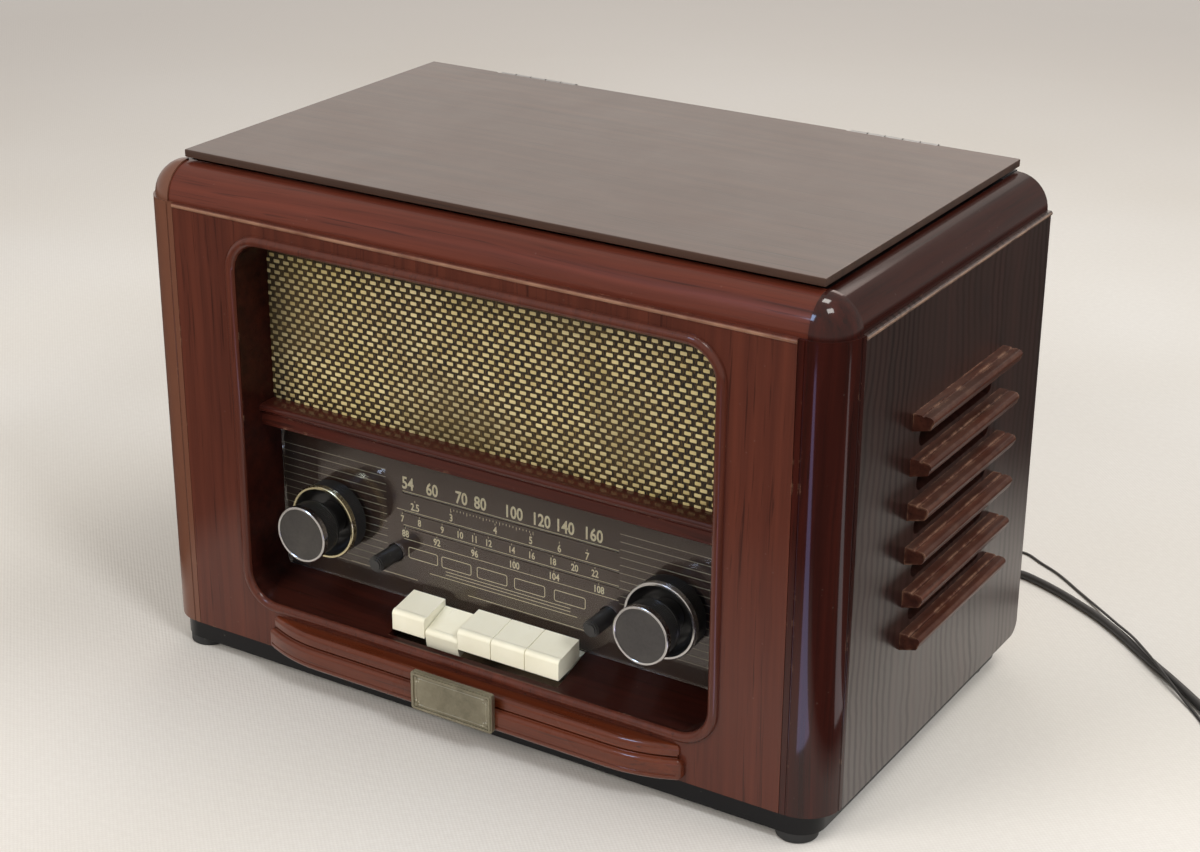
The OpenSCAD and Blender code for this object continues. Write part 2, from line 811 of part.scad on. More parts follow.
// Knuckles of one hinge: even ones are fixed, odd ones turn with the lid
module knuckles(first) {
    for (i = [first : 2 : 4]) translate([(i - 2) * knuckle_l, 0, 0]) difference() {
        rod_x(2.3, knuckle_l - 0.6);
        rod_x(1.05, knuckle_l);
    }
}

module hinge_leaves() {
    color(chrome) set_back() both_sides() translate([hinge_x, hinge_axis_y, hinge_axis_z]) {
        knuckles(0);
        for (i = [0 : 2 : 4]) translate([(i - 2.5) * knuckle_l + 0.3, -2.3, -14])
            cube([knuckle_l - 0.6, 1.2, 13]);
        translate([-2.5 * knuckle_l + 0.3, -2.3, -16]) cube([5 * knuckle_l - 0.6, 1.2, 11]);
    }
}

module hinge_pins() {
    color("#b8b8ba") set_back() both_sides() translate([hinge_x, hinge_axis_y, hinge_axis_z]) {
        rod_x(1, 5 * knuckle_l + 1);
        for (s = [-1, 1]) translate([s * (2.5 * knuckle_l + 0.5), 0, 0]) rod_x(1.7, 1);
    }
}

module lid() {
    y0 = 16.4;
    y1 = hinge_axis_y - 2.7;
    color(wood_dark) set_back() translate([-half_w + 19.2, y0, lid_z]) difference() {
        cube([2 * half_w - 38.4, y1 - y0, lid_t]);
        for (s = [-1, 1]) translate([half_w - 19.2 + s * hinge_x, y1 - y0, 0])
            translate([-2.5 * knuckle_l - 1, -1, -1]) cube([5 * knuckle_l + 2, 3, lid_t + 2]);
    }
}

module lid_leaves() {
    color(chrome) set_back() both_sides() translate([hinge_x, hinge_axis_y, hinge_axis_z]) {
        knuckles(1);
        for (i = [1, 3]) translate([(i - 2.5) * knuckle_l + 0.3, -6, -2.3])
            cube([knuckle_l - 0.6, 6, 1.1]);
        translate([-2.5 * knuckle_l + 0.3, -18, -2.3]) cube([5 * knuckle_l - 0.6, 14, 1.1]);
    }
}

// A ribbed grip: n rounded ribs round a core, from y0 to y1
module ribbed_grip(r, y0, y1, n) {
    rib = 0.55;
    translate([0, y1, 0]) rotate([90, 0, 0]) linear_extrude(y1 - y0) {
        circle(r = r - rib, $fn = 120);
        for (i = [0 : n - 1]) rotate(i * 360 / n)
            translate([r - rib - 0.25, -0.45]) square([rib + 0.25, 0.9]);
    }
}

// The front knob of a pair, with its shaft
module front_knob() {
    rod_y(knob_r - 0.3, -2.5, -0.4);
    ribbed_grip(knob_r, -0.5, 15.8, 48);
    rod_y(13, 15.7, 16.8);
    rod_y(shaft_r, 16.7, 56);
}

module knob_face_cut() {
    translate([0, -2.6, 0]) rod_y(12.6, 0, 0.8);
}

module volume_knob() {
    color("#1c1c1e") set_back() translate([-knob_x, 0, knob_z]) difference() {
        front_knob();
        knob_face_cut();
    }
}

module tuning_knob() {
    color("#1c1c1e") set_back() translate([knob_x, 0, knob_z]) difference() {
        front_knob();
        knob_face_cut();
    }
}

// The ring behind a front knob, with the sleeve that it turns on
module outer_ring() {
    difference() {
        union() {
            rod_y(ring_r, 15.2, 17.2);
            ribbed_grip(ring_r - 0.2, 17.1, 27.4, 60);
            rod_y(sleeve_r, 27.3, liner_back + 10);
        }
        rod_y(16.4, 15, 17.4);
        rod_y(shaft_r + run, 15, 60);
    }
}

module tone_ring() {
    color("#1c1c1e") set_back() translate([-knob_x, 0, knob_z]) outer_ring();
}

module selector_ring() {
    color("#1c1c1e") set_back() translate([knob_x, 0, knob_z]) outer_ring();
}

module dial_pointer() {
    y0 = glass_y + glass_t + 1.7;
    color("#d8d0c0") set_back() translate([24, 0, 0]) {
        translate([-0.8, y0, base_z + 68]) cube([1.6, 0.8, 33]);
        difference() {
            translate([-6, y0, rail_axis_z - 4]) cube([12, 7, 8]);
            translate([0, rail_axis_y, rail_axis_z]) rod_x(rod_r + run, 20);
        }
    }
}

module plunger() {
    rod_y(plunger_r, 12.4, liner_back + 11);
    rod_y(plunger_r - 0.7, 11.6, 12.5);
    rod_y(plunger_r - 1.6, 11, 11.7);
}

module left_plunger() {
    color("#2a2a2c") set_back() translate([-plunger_x, 0, plunger_z]) plunger();
}

module right_plunger() {
    color("#2a2a2c") set_back() translate([plunger_x, 0, plunger_z]) plunger();
}

// Routes of the free cords in the row's frame, from the exit to the coil
mains_path = [
    [mains_exit[0], front_y + relief_end, mains_exit[2]],
    [130, 142, 45], [130, 149.5, 42], [130.5, 155, 36], [131, 159, 28], [132, 163, 19.5],
    [134, 168, 11.5], [137, 175, 5.5], [142, 183, 2.7], [149, 191, 2.3], [158, 197.5, 2.3],
    [167, 200.4, 2.3], [180, 196.5, 2.3], [194, 190.5, 2.3], [209, 182.5, 2.3],
    [225, 173, 2.3], [245, 158, 2.3], [265, 141, 2.3], [285, 125, 2.3], [304, 108.5, 2.3],
    [318, 94.5, 2.3], [332, 80.5, 2.3]
];
aerial_path = [
    [aerial_exit[0], front_y + cover_y + cover_t + gland_l, aerial_exit[2]],
    [100, 124, 110], [100, 132, 106], [100.5, 138, 97], [101, 141, 84], [101.5, 143, 68],
    [102, 145, 52], [103, 148, 36], [104, 153, 21], [107, 162, 9], [112, 174, 2.5],
    [119, 189, 0.8], [128, 205, 0.8], [140, 220, 0.8], [155, 230.5, 0.8], [170, 223, 0.8],
    [185, 214, 0.8], [203, 199.5, 0.8], [220, 185, 1.6], [236, 169, 3.9], [251, 154, 6.1],
    [266, 138.5, 6.1], [281, 124, 3.9], [295, 110.5, 1.6], [307.5, 97.5, 0.8],
    [318, 83, 0.8], [328, 68, 0.8], [337, 54.5, 0.8], [346, 41, 0.8]
];

function unit(v) = v / norm(v);

// A point between b and c on a smooth curve through a, b, c and d
function smooth_point(a, b, c, d, t) =
    0.5 * (2 * b + (c - a) * t + (2 * a - 5 * b + 4 * c - d) * t * t
        + (3 * b - a - 3 * c + d) * t * t * t);

// The route with k steps from each of its points to the next
function smooth_route(p, k) = [
    for (i = [0 : len(p) - 2], j = [0 : k - 1])
        smooth_point(p[max(i - 1, 0)], p[i], p[i + 1], p[min(i + 2, len(p) - 1)], j / k),
    p[len(p) - 1]
];

// The direction of a route at point i
function heading(p, i) = unit(p[min(i + 1, len(p) - 1)] - p[max(i - 1, 0)]);

// A ring of n points round point i, square to the route
function ring(p, i, r, n) =
    let (h = heading(p, i), s = unit(cross(h, abs(h[2]) > 0.9 ? [0, 1, 0] : [0, 0, 1])), u = cross(s, h))
    [for (k = [0 : n - 1]) p[i] + r * (cos(360 * k / n) * s + sin(360 * k / n) * u)];

// A closed tube along a route
module tube(p, d, n) {
    m = len(p);
    points = [for (i = [0 : m - 1]) each ring(p, i, d / 2, n)];
    sides = [for (i = [0 : m - 2], k = [0 : n - 1])
        let (a = i * n + k, b = i * n + (k + 1) % n)
        each [[a, b, b + n], [a, b + n, a + n]]];
    polyhedron(points = concat(points, [p[0], p[m - 1]]), faces = concat(
        sides,
        [for (k = [0 : n - 1]) [m * n, (k + 1) % n, k]],
        [for (k = [0 : n - 1]) [m * n + 1, (m - 1) * n + k, (m - 1) * n + (k + 1) % n]]));
}

module mains_cord() {
    color("#1b1a1a") tube(smooth_route(mains_path, 2), mains_d, 8);
}

module aerial_wire() {
    color("#222020") tube(smooth_route(aerial_path, 2), aerial_d, 8);
}

// A coil of two layers that winds in below and out again above, anticlockwise from the
// angle start. Its two ends run straight, and out is the length of the second of them.
// pitch is the space from one turn to the next.
coil_steps = 24;
function coil_radius(t, turns, mean_r, pitch) =
    mean_r - turns * pitch / 4 + pitch * abs(t - turns / 2);
function coil_height(t, turns, d, pitch) =
    d / 2 + pitch * min(1, max(0, (t - turns / 2 + 0.25) * 2));
function coil_turns(centre, turns, mean_r, d, pitch, start) = [
    for (i = [0 : turns * coil_steps])
        let (t = i / coil_steps, a = start + 360 * t, r = coil_radius(t, turns, mean_r, pitch))
        [centre[0] + r * cos(a), centre[1] + r * sin(a), coil_height(t, turns, d, pitch)]
];

// The coil's turns with a straight lead at each end
function coil_route(centre, turns, mean_r, d, pitch, start, out) =
    let (p = coil_turns(centre, turns, mean_r, d, pitch, start), m = len(p),
         a = p[0] + d * [sin(start), -cos(start), 0],
         e = start + 360 * turns,
         b = p[m - 1] + out * [-sin(e), cos(e), 0])
    concat([a], p, [b]);

mains_pitch = mains_d + 0.55;
mains_coil_r = 27.6;
mains_coil_start = 225;
mains_coil_lead = 20;
mains_coil_out = mains_coil_r + mains_turns * mains_pitch / 4;
aerial_pitch = aerial_d + 0.55;
aerial_coil_r = 8.5;
aerial_coil_start = 213.7;
aerial_coil_out = aerial_coil_r + aerial_turns * aerial_pitch / 4;

// Each coil's centre is set from the last point of the cord that runs into it
function coil_centre(last, start, out_r, d) =
    [last[0] - d * sin(start) - out_r * cos(start), last[1] + d * cos(start) - out_r * sin(start)];
mains_end = mains_path[len(mains_path) - 1];
aerial_end = aerial_path[len(aerial_path) - 1];
mains_route = coil_route(coil_centre(mains_end, mains_coil_start, mains_coil_out, mains_d),
    mains_turns, mains_coil_r, mains_d, mains_pitch, mains_coil_start, mains_coil_lead);
aerial_route = coil_route(coil_centre(aerial_end, aerial_coil_start, aerial_coil_out, aerial_d),
    aerial_turns, aerial_coil_r, aerial_d, aerial_pitch, aerial_coil_start, aerial_d);

// The least gap between parts of a coil that are at least half a turn apart
function least_gap(p, d) = min([
    for (i = [0 : len(p) - 1], j = [i + 12 : 1 : len(p) - 1]) norm(p[i] - p[j])]) - d;
echo("mains coil least gap", least_gap(mains_route, mains_d));
echo("aerial coil least gap", least_gap(aerial_route, aerial_d));

module mains_cord_coil() {
    color("#1b1a1a") tube(mains_route, mains_d, 6);
}

module aerial_wire_coil() {
    color("#222020") tube(aerial_route, aerial_d, 6);
}

// Flat two-pin plug that lies beside the coil, in line with the cord's end
module mains_plug() {
    m = len(mains_route);
    tip = mains_route[m - 1];
    dir = heading(mains_route, m - 1);
    turn = atan2(dir[1], dir[0]);
    half_t = tip[2];
    color("#1b1a1a") translate([tip[0], tip[1], 0]) rotate([0, 0, turn]) {
        translate([0, 0, half_t]) rotate([0, 90, 0]) cylinder(r1 = 3.6, r2 = 5, h = 14, $fn = 48);
        linear_extrude(2 * half_t) {
            translate([13, -9]) square([30, 18]);
            translate([22, -13]) square([21, 26]);
            translate([22, -9]) circle(r = 4, $fn = 32);
            translate([22, 9]) circle(r = 4, $fn = 32);
        }
        for (s = [-1, 1]) translate([42.9, s * 8.8, half_t]) rotate([0, 90, 0])
            cylinder(r = 2, h = 18, $fn = 32);
    }
}

front_panel();
opening_bead();
left_side_panel();
right_side_panel();
corner_posts();
corner_blocks();
front_top_rail();
side_top_rails();
bottom_board();
plinth();
feet();
louvre_slats();
apron_moulding();
nameplate();
middle_rail();
recess_liner();
speaker_baffle();
grille_cloth();
speakers();
dial_glass();
dial_plate();
dial_chassis();
panel_controls();
tuning_capacitor();
main_board();
transformer();
key_frame();
key_rod();
cd_deck();
deck_motors();
sled_rods();
rear_cover();
rear_cover_screws();
strain_relief();
aerial_gland();
hinge_leaves();
hinge_pins();
lid();
lid_leaves();
mains_cord();
mains_cord_coil();
mains_plug();
aerial_wire();
aerial_wire_coil();
volume_knob();
tone_ring();
tuning_knob();
selector_ring();
dial_pointer();
tuning_drum();
power_key();
fm_key();
am_key();
cd_key();
aux_key();
left_plunger();
right_plunger();
spindle_hub();
laser_sled();
sled_gear();
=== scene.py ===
"""Table radio with a disc player in a gloss wooden cabinet: finishes, cloth, leads, dial print and studio."""
import math

import bpy
from mathutils import Matrix, Vector


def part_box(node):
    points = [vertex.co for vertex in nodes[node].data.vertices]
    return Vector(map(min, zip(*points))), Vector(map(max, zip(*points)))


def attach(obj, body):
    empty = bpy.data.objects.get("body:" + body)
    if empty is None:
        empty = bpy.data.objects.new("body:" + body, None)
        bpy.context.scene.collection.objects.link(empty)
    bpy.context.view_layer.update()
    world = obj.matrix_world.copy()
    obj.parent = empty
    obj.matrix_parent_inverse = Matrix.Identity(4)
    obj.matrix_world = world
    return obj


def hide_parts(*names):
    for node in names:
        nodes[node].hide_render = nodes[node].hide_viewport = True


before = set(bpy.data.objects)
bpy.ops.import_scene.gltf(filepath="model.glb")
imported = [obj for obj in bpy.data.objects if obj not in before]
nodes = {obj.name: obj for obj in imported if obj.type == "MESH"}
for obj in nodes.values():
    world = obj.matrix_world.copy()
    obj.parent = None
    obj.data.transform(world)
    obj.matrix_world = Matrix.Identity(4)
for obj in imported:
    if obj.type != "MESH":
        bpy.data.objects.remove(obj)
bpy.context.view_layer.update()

MM = 0.001

# Places on the cabinet, from the frame
dial_face_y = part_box("dial_plate")[0][1]
cloth_low, cloth_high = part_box("grille_cloth")


def new_object(name, data):
    made = bpy.data.objects.new(name, data)
    bpy.context.scene.collection.objects.link(made)
    return made


# Shader building blocks

def new_group(name, inputs, outputs):
    """An empty shader group. inputs gives each input's default, and outputs names its masks."""
    group = bpy.data.node_groups.new(name, "ShaderNodeTree")
    for label, default in inputs.items():
        kind = "NodeSocketVector" if isinstance(default, tuple) else "NodeSocketFloat"
        socket = group.interface.new_socket(label, in_out="INPUT", socket_type=kind)
        socket.default_value = default
    for label in outputs:
        group.interface.new_socket(label, in_out="OUTPUT", socket_type="NodeSocketFloat")
    return group, group.nodes.new("NodeGroupInput").outputs, group.nodes.new("NodeGroupOutput").inputs


class Sheet:
    """Short calls that add nodes to one tree. A value is a number, a colour or another node's output."""

    def __init__(self, tree):
        self.tree = tree

    def put(self, socket, value):
        if isinstance(value, bpy.types.NodeSocket):
            self.tree.links.new(value, socket)
        elif value is not None:
            socket.default_value = (*value, 1) if socket.type == "RGBA" else value

    def node(self, kind, inputs=None, **settings):
        made = self.tree.nodes.new(kind)
        for key, value in settings.items():
            setattr(made, key, value)
        for key, value in (inputs or {}).items():
            self.put(made.inputs[key], value)
        return made

    def math(self, operation, a, b=None):
        return self.node("ShaderNodeMath", {0: a, 1: b}, operation=operation).outputs[0]

    def times(self, a, b):
        return self.math("MULTIPLY", a, b)

    def plus(self, a, b):
        return self.math("ADD", a, b)

    def minus(self, a, b):
        return self.math("SUBTRACT", a, b)

    def larger(self, a, b):
        return self.math("MAXIMUM", a, b)

    def vector(self, operation, a, b=None, output="Vector"):
        return self.node("ShaderNodeVectorMath", {0: a, 1: b}, operation=operation).outputs[output]

    def mix(self, share, a, b):
        """Colour a with the given share of colour b."""
        return self.node("ShaderNodeMix", {0: share, 6: a, 7: b}, data_type="RGBA").outputs[2]

    def between(self, value, low, high, to_low=0.0, to_high=1.0):
        """value, mapped from low..high to to_low..to_high and held inside it."""
        made = self.node("ShaderNodeMapRange", {"Value": value, "From Min": low, "From Max": high,
                                                "To Min": to_low, "To Max": to_high})
        return made.outputs[0]

    def place(self):
        return self.node("ShaderNodeTexCoord").outputs["Object"]

    def axes(self, vector):
        """The X, Y and Z of a vector."""
        return self.node("ShaderNodeSeparateXYZ", {0: vector}).outputs

    def scaled(self, vector, scale):
        return self.vector("MULTIPLY", vector, scale)

    def noise(self, vector, scale=1.0, detail=2.0, rough=0.5, distortion=0.0):
        made = self.node("ShaderNodeTexNoise", {"Vector": vector, "Scale": scale, "Detail": detail,
                                                "Roughness": rough, "Distortion": distortion})
        return made.outputs["Fac"]

    def bump(self, height, strength, distance):
        made = self.node("ShaderNodeBump", {"Height": height, "Strength": strength, "Distance": distance})
        return made.outputs[0]

    def group(self, group, **inputs):
        made = self.node("ShaderNodeGroup", node_tree=group)
        for key, value in inputs.items():
            self.put(made.inputs[key.replace("_", " ").capitalize()], value)
        return made.outputs


def grain_group():
    """Streaks, fine pores, broad figure and year rings of wood. Stretch counts the streaks per metre."""
    group, given, made = new_group("wood grain", {"Stretch": (400, 400, 14), "Waviness": 0.5},
                                   ("Streaks", "Pores", "Figure", "Rings"))
    s = Sheet(group)
    place = s.place()
    sway = s.times(s.minus(s.noise(place, 5.0), 0.5), s.times(given["Waviness"], 0.02))
    shift = s.node("ShaderNodeCombineXYZ", {"X": sway, "Y": sway, "Z": sway}).outputs[0]
    grained = s.scaled(s.vector("ADD", place, shift), given["Stretch"])
    pores = s.between(s.noise(grained, 2.1, 2.0, 0.55), 0.56, 0.68)
    breaks = s.between(s.noise(grained, 0.8, 1.0), 0.36, 0.6)
    s.put(made["Streaks"], s.between(s.noise(grained, 0.45, 3.0, 0.6), 0.3, 0.7))
    s.put(made["Pores"], s.times(pores, breaks))
    s.put(made["Figure"], s.between(s.noise(s.scaled(grained, (0.06, 0.06, 0.06))), 0.3, 0.7))
    swell = s.noise(s.scaled(grained, (0.02, 0.02, 0.6)))
    ripple = s.noise(s.scaled(grained, (0.1, 0.1, 9.0)))
    count = s.vector("DOT_PRODUCT", grained, (3.1, 3.1, 3.1), "Value")
    rings = s.math("SINE", s.plus(count, s.plus(s.times(swell, 24.0), s.times(ripple, 5.0))))
    strength = s.between(s.noise(s.scaled(grained, (0.12, 0.12, 0.2))), 0.36, 0.62, 0.15, 1.0)
    s.put(made["Rings"], s.times(s.between(rings, -0.3, 0.9), strength))
    return group


def wear_group():
    """Where edges are rubbed. Width is in metres and Amount is from 0 to 1."""
    group, given, made = new_group("edge wear", {"Width": 0.001, "Amount": 0.5}, ("Mask",))
    s = Sheet(group)
    soft = s.node("ShaderNodeBevel", {"Radius": given["Width"]}, samples=4).outputs[0]
    turn = s.vector("DOT_PRODUCT", soft, s.node("ShaderNodeNewGeometry").outputs["Normal"], "Value")
    limit = s.minus(0.78, s.times(given["Amount"], 0.4))
    chipped = s.between(s.noise(s.place(), 90.0, 4.0, 0.7), limit, s.plus(limit, 0.12))
    s.put(made["Mask"], s.times(s.between(turn, 0.995, 0.86), chipped))
    return group


def dust_group():
    """Fine dust that lies on faces turned upwards, with a few specks everywhere."""
    group, given, made = new_group("dust", {"Amount": 0.3, "Specks": 0.3}, ("Mask",))
    s = Sheet(group)
    facing = s.between(s.axes(s.node("ShaderNodeNewGeometry").outputs["Normal"])[2], 0.3, 1.0)
    cloud = s.between(s.noise(s.place(), 26.0, 4.0, 0.65), 0.35, 0.75)
    film = s.times(s.times(facing, cloud), given["Amount"])
    cells = s.node("ShaderNodeTexVoronoi", {"Vector": s.place(), "Scale": 260.0}).outputs
    dot = s.between(cells["Distance"], 0.16, 0.08)
    chosen = s.between(s.node("ShaderNodeSeparateColor", {0: cells["Color"]}).outputs[0], 0.9, 0.92)
    s.put(made["Mask"], s.larger(film, s.times(s.times(dot, chosen), given["Specks"])))
    return group


def smudge_group():
    """Uneven sheen: cloudy finger marks, from 0 to 1. Scale counts the clouds per metre."""
    group, given, made = new_group("smudges", {"Scale": 30.0}, ("Cloud",))
    s = Sheet(group)
    s.put(made["Cloud"], s.between(s.noise(s.place(), given["Scale"], 4.0, 0.6, 0.3), 0.3, 0.7))
    return group


wood_grain = grain_group()
edge_wear = wear_group()
dust = dust_group()
smudges = smudge_group()


def new_material(name):
    material = bpy.data.materials.new(name)
    material.use_nodes = True
    s = Sheet(material.node_tree)
    return material, s, material.node_tree.nodes["Principled BSDF"]


def finish(s, shader, **values):
    """Puts values on the Principled shader's sockets, named with _ for a space."""
    for key, value in values.items():
        label = key.replace("_", " ").title().replace("Ior", "IOR")
        s.put(shader.inputs[label], value)


# Materials

BARE_WOOD = (0.27, 0.165, 0.105)


def lacquered_wood(name, pale, deep, pore, stretch, rough, coat_rough, coat=0.5, wear=0.45, film=0.02,
                   waviness=0.5, rings=0.0, shine=0.12, bead=None, rub=0.0009, mirror=1.5, left=None):
    """Stained veneer under lacquer. pale, deep and pore are its colours, and stretch sets the grain's way.

    rings is the strength of the coarse year rings, shine the gloss under the top coat, bead the height of a
    rubbed bead in metres, rub the width of the rubbed edges in metres, mirror the refractive index of the
    top coat, and left a paler colour blended into the radio's left end as painted light.
    """
    material, s, shader = new_material(name)
    grain = s.group(wood_grain, stretch=stretch, waviness=waviness)
    worn = s.group(edge_wear, width=rub, amount=wear)[0]
    dusty = s.group(dust, amount=film, specks=0.1)[0]
    marks = s.group(smudges, scale=22.0)[0]
    body = s.mix(s.times(grain["Streaks"], 0.7), deep, pale)
    body = s.mix(s.times(grain["Figure"], 0.4), body, deep)
    body = s.mix(s.times(grain["Pores"], 0.55), body, pore)
    if rings:
        body = s.mix(s.times(grain["Rings"], rings), body, pore)
    bare = tuple(0.5 * c + d for c, d in zip(pale, BARE_WOOD))
    rubbed = s.times(worn, 0.7)
    if bead:
        near = s.between(s.math("ABSOLUTE", s.minus(s.axes(s.place())[2], bead)), 0.0010, 0.0006)
        patchy = s.between(s.noise(s.place(), 60.0, 3.0), 0.3, 0.6, 0.25, 0.8)
        rubbed = s.larger(rubbed, s.times(near, patchy))
    # Painted light: towards negative x the colour blends into the paler left colour, as if the left end were
    # lit.
    if left:
        body = s.mix(s.between(s.axes(s.place())[0], 0.1, -0.1, 0.0, 0.8), body, left)
    body = s.mix(rubbed, body, bare)
    body = s.mix(s.times(dusty, 0.5), body, (0.42, 0.36, 0.30))
    gloss = s.between(marks, 0.0, 1.0, rough - 0.03, rough + 0.03)
    gloss = s.plus(gloss, s.times(dusty, 0.3))
    depth = s.minus(s.times(grain["Streaks"], 0.25), grain["Pores"])
    if rings:
        depth = s.minus(depth, s.times(grain["Rings"], rings))
        coat = s.between(grain["Rings"], 0.0, 1.0, coat, 0.72 * coat)
    finish(s, shader, base_color=body, roughness=gloss, normal=s.bump(depth, 0.3, 0.0001),
           specular_ior_level=shine, coat_weight=coat, coat_roughness=coat_rough, coat_ior=mirror)
    return material


def raw_board(name, pale, deep):
    """Unfinished board of the inside, with a broad dull grain."""
    material, s, shader = new_material(name)
    grain = s.group(wood_grain, stretch=(16, 260, 260), waviness=1.0)
    dusty = s.group(dust, amount=0.4, specks=0.3)[0]
    body = s.mix(grain["Streaks"], deep, pale)
    body = s.mix(s.times(dusty, 0.4), body, (0.4, 0.36, 0.3))
    finish(s, shader, base_color=body, roughness=0.75, normal=s.bump(grain["Pores"], 0.4, 0.0002))
    return material


def moulded_plastic(name, colour, rough, grain=0.25, coat=0.0, wear=0.3, film=0.12, dirt=None, shine=0.5):
    """Moulded plastic: fine surface grain, paler rubbed edges and a little dust."""
    material, s, shader = new_material(name)
    marks = s.group(smudges, scale=40.0)[0]
    worn = s.group(edge_wear, width=0.0006, amount=wear)[0]
    dusty = s.group(dust, amount=film, specks=0.2)[0]
    pale = tuple(min(1.0, c * 1.35 + 0.05) for c in colour)
    dark = dirt or tuple(c * 0.8 for c in colour)
    body = s.mix(s.times(marks, 0.35), colour, dark)
    body = s.mix(s.times(worn, 0.5), body, pale)
    body = s.mix(s.times(dusty, 0.5), body, (0.45, 0.42, 0.37))
    gloss = s.between(marks, 0.0, 1.0, rough - 0.04, rough + 0.08)
    skin = s.noise(s.place(), 2600.0)
    finish(s, shader, base_color=body, roughness=gloss, normal=s.bump(skin, grain, 0.00006),
           specular_ior_level=shine, coat_weight=coat, coat_roughness=0.12)
    return material


def worn_metal(name, colour, rough, brushed=(0, 0, 0), dull=(0.25, 0.22, 0.18), tarnish=0.2):
    """Metal with brush lines along one axis, dull patches and rubbed edges."""
    material, s, shader = new_material(name)
    marks = s.group(smudges, scale=70.0)[0]
    worn = s.group(edge_wear, width=0.0005, amount=0.5)[0]
    dusty = s.group(dust, amount=0.15, specks=0.25)[0]
    lines = s.noise(s.scaled(s.place(), brushed)) if any(brushed) else s.noise(s.place(), 900.0)
    patch = s.times(marks, tarnish)
    bright = tuple(min(1.0, c * 1.25 + 0.03) for c in colour)
    body = s.mix(patch, colour, dull)
    body = s.mix(s.times(worn, 0.6), body, bright)
    body = s.mix(s.times(dusty, 0.5), body, (0.4, 0.37, 0.33))
    gloss = s.between(lines, 0.3, 0.7, rough, rough + 0.12)
    gloss = s.plus(gloss, s.times(patch, 0.5))
    finish(s, shader, base_color=body, metallic=1.0, roughness=gloss, normal=s.bump(lines, 0.15, 0.00005))
    return material


def dial_window_glass():
    """Clear glass that lets the lamps reach the dial behind it."""
    material, s, shader = new_material("dial_window_glass")
    marks = s.group(smudges, scale=35.0)[0]
    dusty = s.group(dust, amount=0.1, specks=0.15)[0]
    gloss = s.plus(s.between(marks, 0.0, 1.0, 0.0, 0.03), s.times(dusty, 0.2))
    finish(s, shader, base_color=(0.97, 0.985, 0.98), roughness=gloss, transmission_weight=1.0, ior=1.44,
           specular_tint=(1.0, 0.86, 0.76))
    clear = s.node("ShaderNodeBsdfTransparent", {"Color": (0.93, 0.95, 0.94)})
    shadow = s.node("ShaderNodeLightPath").outputs["Is Shadow Ray"]
    mixed = s.node("ShaderNodeMixShader", {0: shadow, 1: shader.outputs[0], 2: clear.outputs[0]})
    s.put(material.node_tree.nodes["Material Output"].inputs["Surface"], mixed.outputs[0])
    return material


DASH_PITCH = 6.1 * MM
ROW_PITCH = 3.0 * MM


def speaker_weave():
    """Dark cloth with short cream dashes, staggered from row to row."""
    material, s, shader = new_material("speaker_weave")
    axes = s.axes(s.place())
    row = s.math("DIVIDE", axes[2], ROW_PITCH)
    row_id = s.math("FLOOR", row)
    shift = s.times(s.math("FLOORED_MODULO", row_id, 2.0), 0.5)
    column = s.plus(s.math("DIVIDE", axes[0], DASH_PITCH), shift)
    across = s.minus(s.math("FRACT", column), 0.5)
    up = s.minus(s.math("FRACT", row), 0.5)
    cell = s.node("ShaderNodeCombineXYZ", {"X": s.math("FLOOR", column), "Y": row_id}).outputs[0]
    own = s.node("ShaderNodeTexWhiteNoise", {"Vector": cell}, noise_dimensions="3D").outputs["Value"]
    reach = s.plus(0.26, s.times(own, 0.05))
    wide = s.math("POWER", s.math("DIVIDE", s.math("ABSOLUTE", across), reach), 7.0)
    tall = s.math("POWER", s.math("DIVIDE", s.math("ABSOLUTE", up), 0.31), 5.0)
    dash = s.between(s.plus(wide, tall), 1.25, 0.75)
    fibre = s.noise(s.scaled(s.place(), (500.0, 500.0, 6500.0)))
    thread = s.noise(s.scaled(s.place(), (3200.0, 3200.0, 500.0)))
    zone = s.noise(s.place(), 16.0)
    cream = s.mix(own, (0.55, 0.43, 0.19), (0.80, 0.68, 0.37))
    cream = s.mix(s.between(zone, 0.4, 0.66, 0.0, 0.6), cream, (0.58, 0.46, 0.15))
    cream = s.mix(s.between(fibre, 0.35, 0.7, 0.3, 0.0), cream, (0.34, 0.28, 0.14))
    ground = s.mix(s.between(thread, 0.45, 0.7), (0.008, 0.005, 0.002), (0.12, 0.070, 0.018))
    body = s.mix(dash, ground, cream)
    # Random broad darker blotches across the cloth.
    dark_blotches = s.between(s.noise(s.place(), 13.0, 3.0), 0.48, 0.68, 0.0, 0.55)
    body = s.mix(dark_blotches, body, (0.07, 0.045, 0.012))
    height = s.plus(dash, s.times(s.plus(fibre, thread), 0.35))
    finish(s, shader, base_color=body, roughness=0.72, sheen_weight=0.05, sheen_roughness=0.4,
           normal=s.bump(height, 0.6, 0.0003))
    return material


def printed_ink(name, pale, deep, spots):
    """Ink that is a little uneven. spots is their count per metre."""
    material, s, shader = new_material(name)
    patchy = s.between(s.noise(s.place(), spots, 3.0), 0.4, 0.7)
    finish(s, shader, base_color=s.mix(patchy, pale, deep), roughness=0.6)
    return material


def cord_rubber():
    """Black sleeve of the leads, satin with dull rubbed stretches."""
    material, s, shader = new_material("cord_rubber")
    marks = s.group(smudges, scale=50.0)[0]
    dusty = s.group(dust, amount=0.35, specks=0.2)[0]
    body = s.mix(s.times(marks, 0.6), (0.016, 0.015, 0.015), (0.03, 0.028, 0.027))
    body = s.mix(s.times(dusty, 0.35), body, (0.3, 0.28, 0.25))
    skin = s.noise(s.place(), 1500.0)
    finish(s, shader, base_color=body, roughness=s.between(marks, 0.0, 1.0, 0.34, 0.5),
           normal=s.bump(skin, 0.2, 0.0001))
    return material


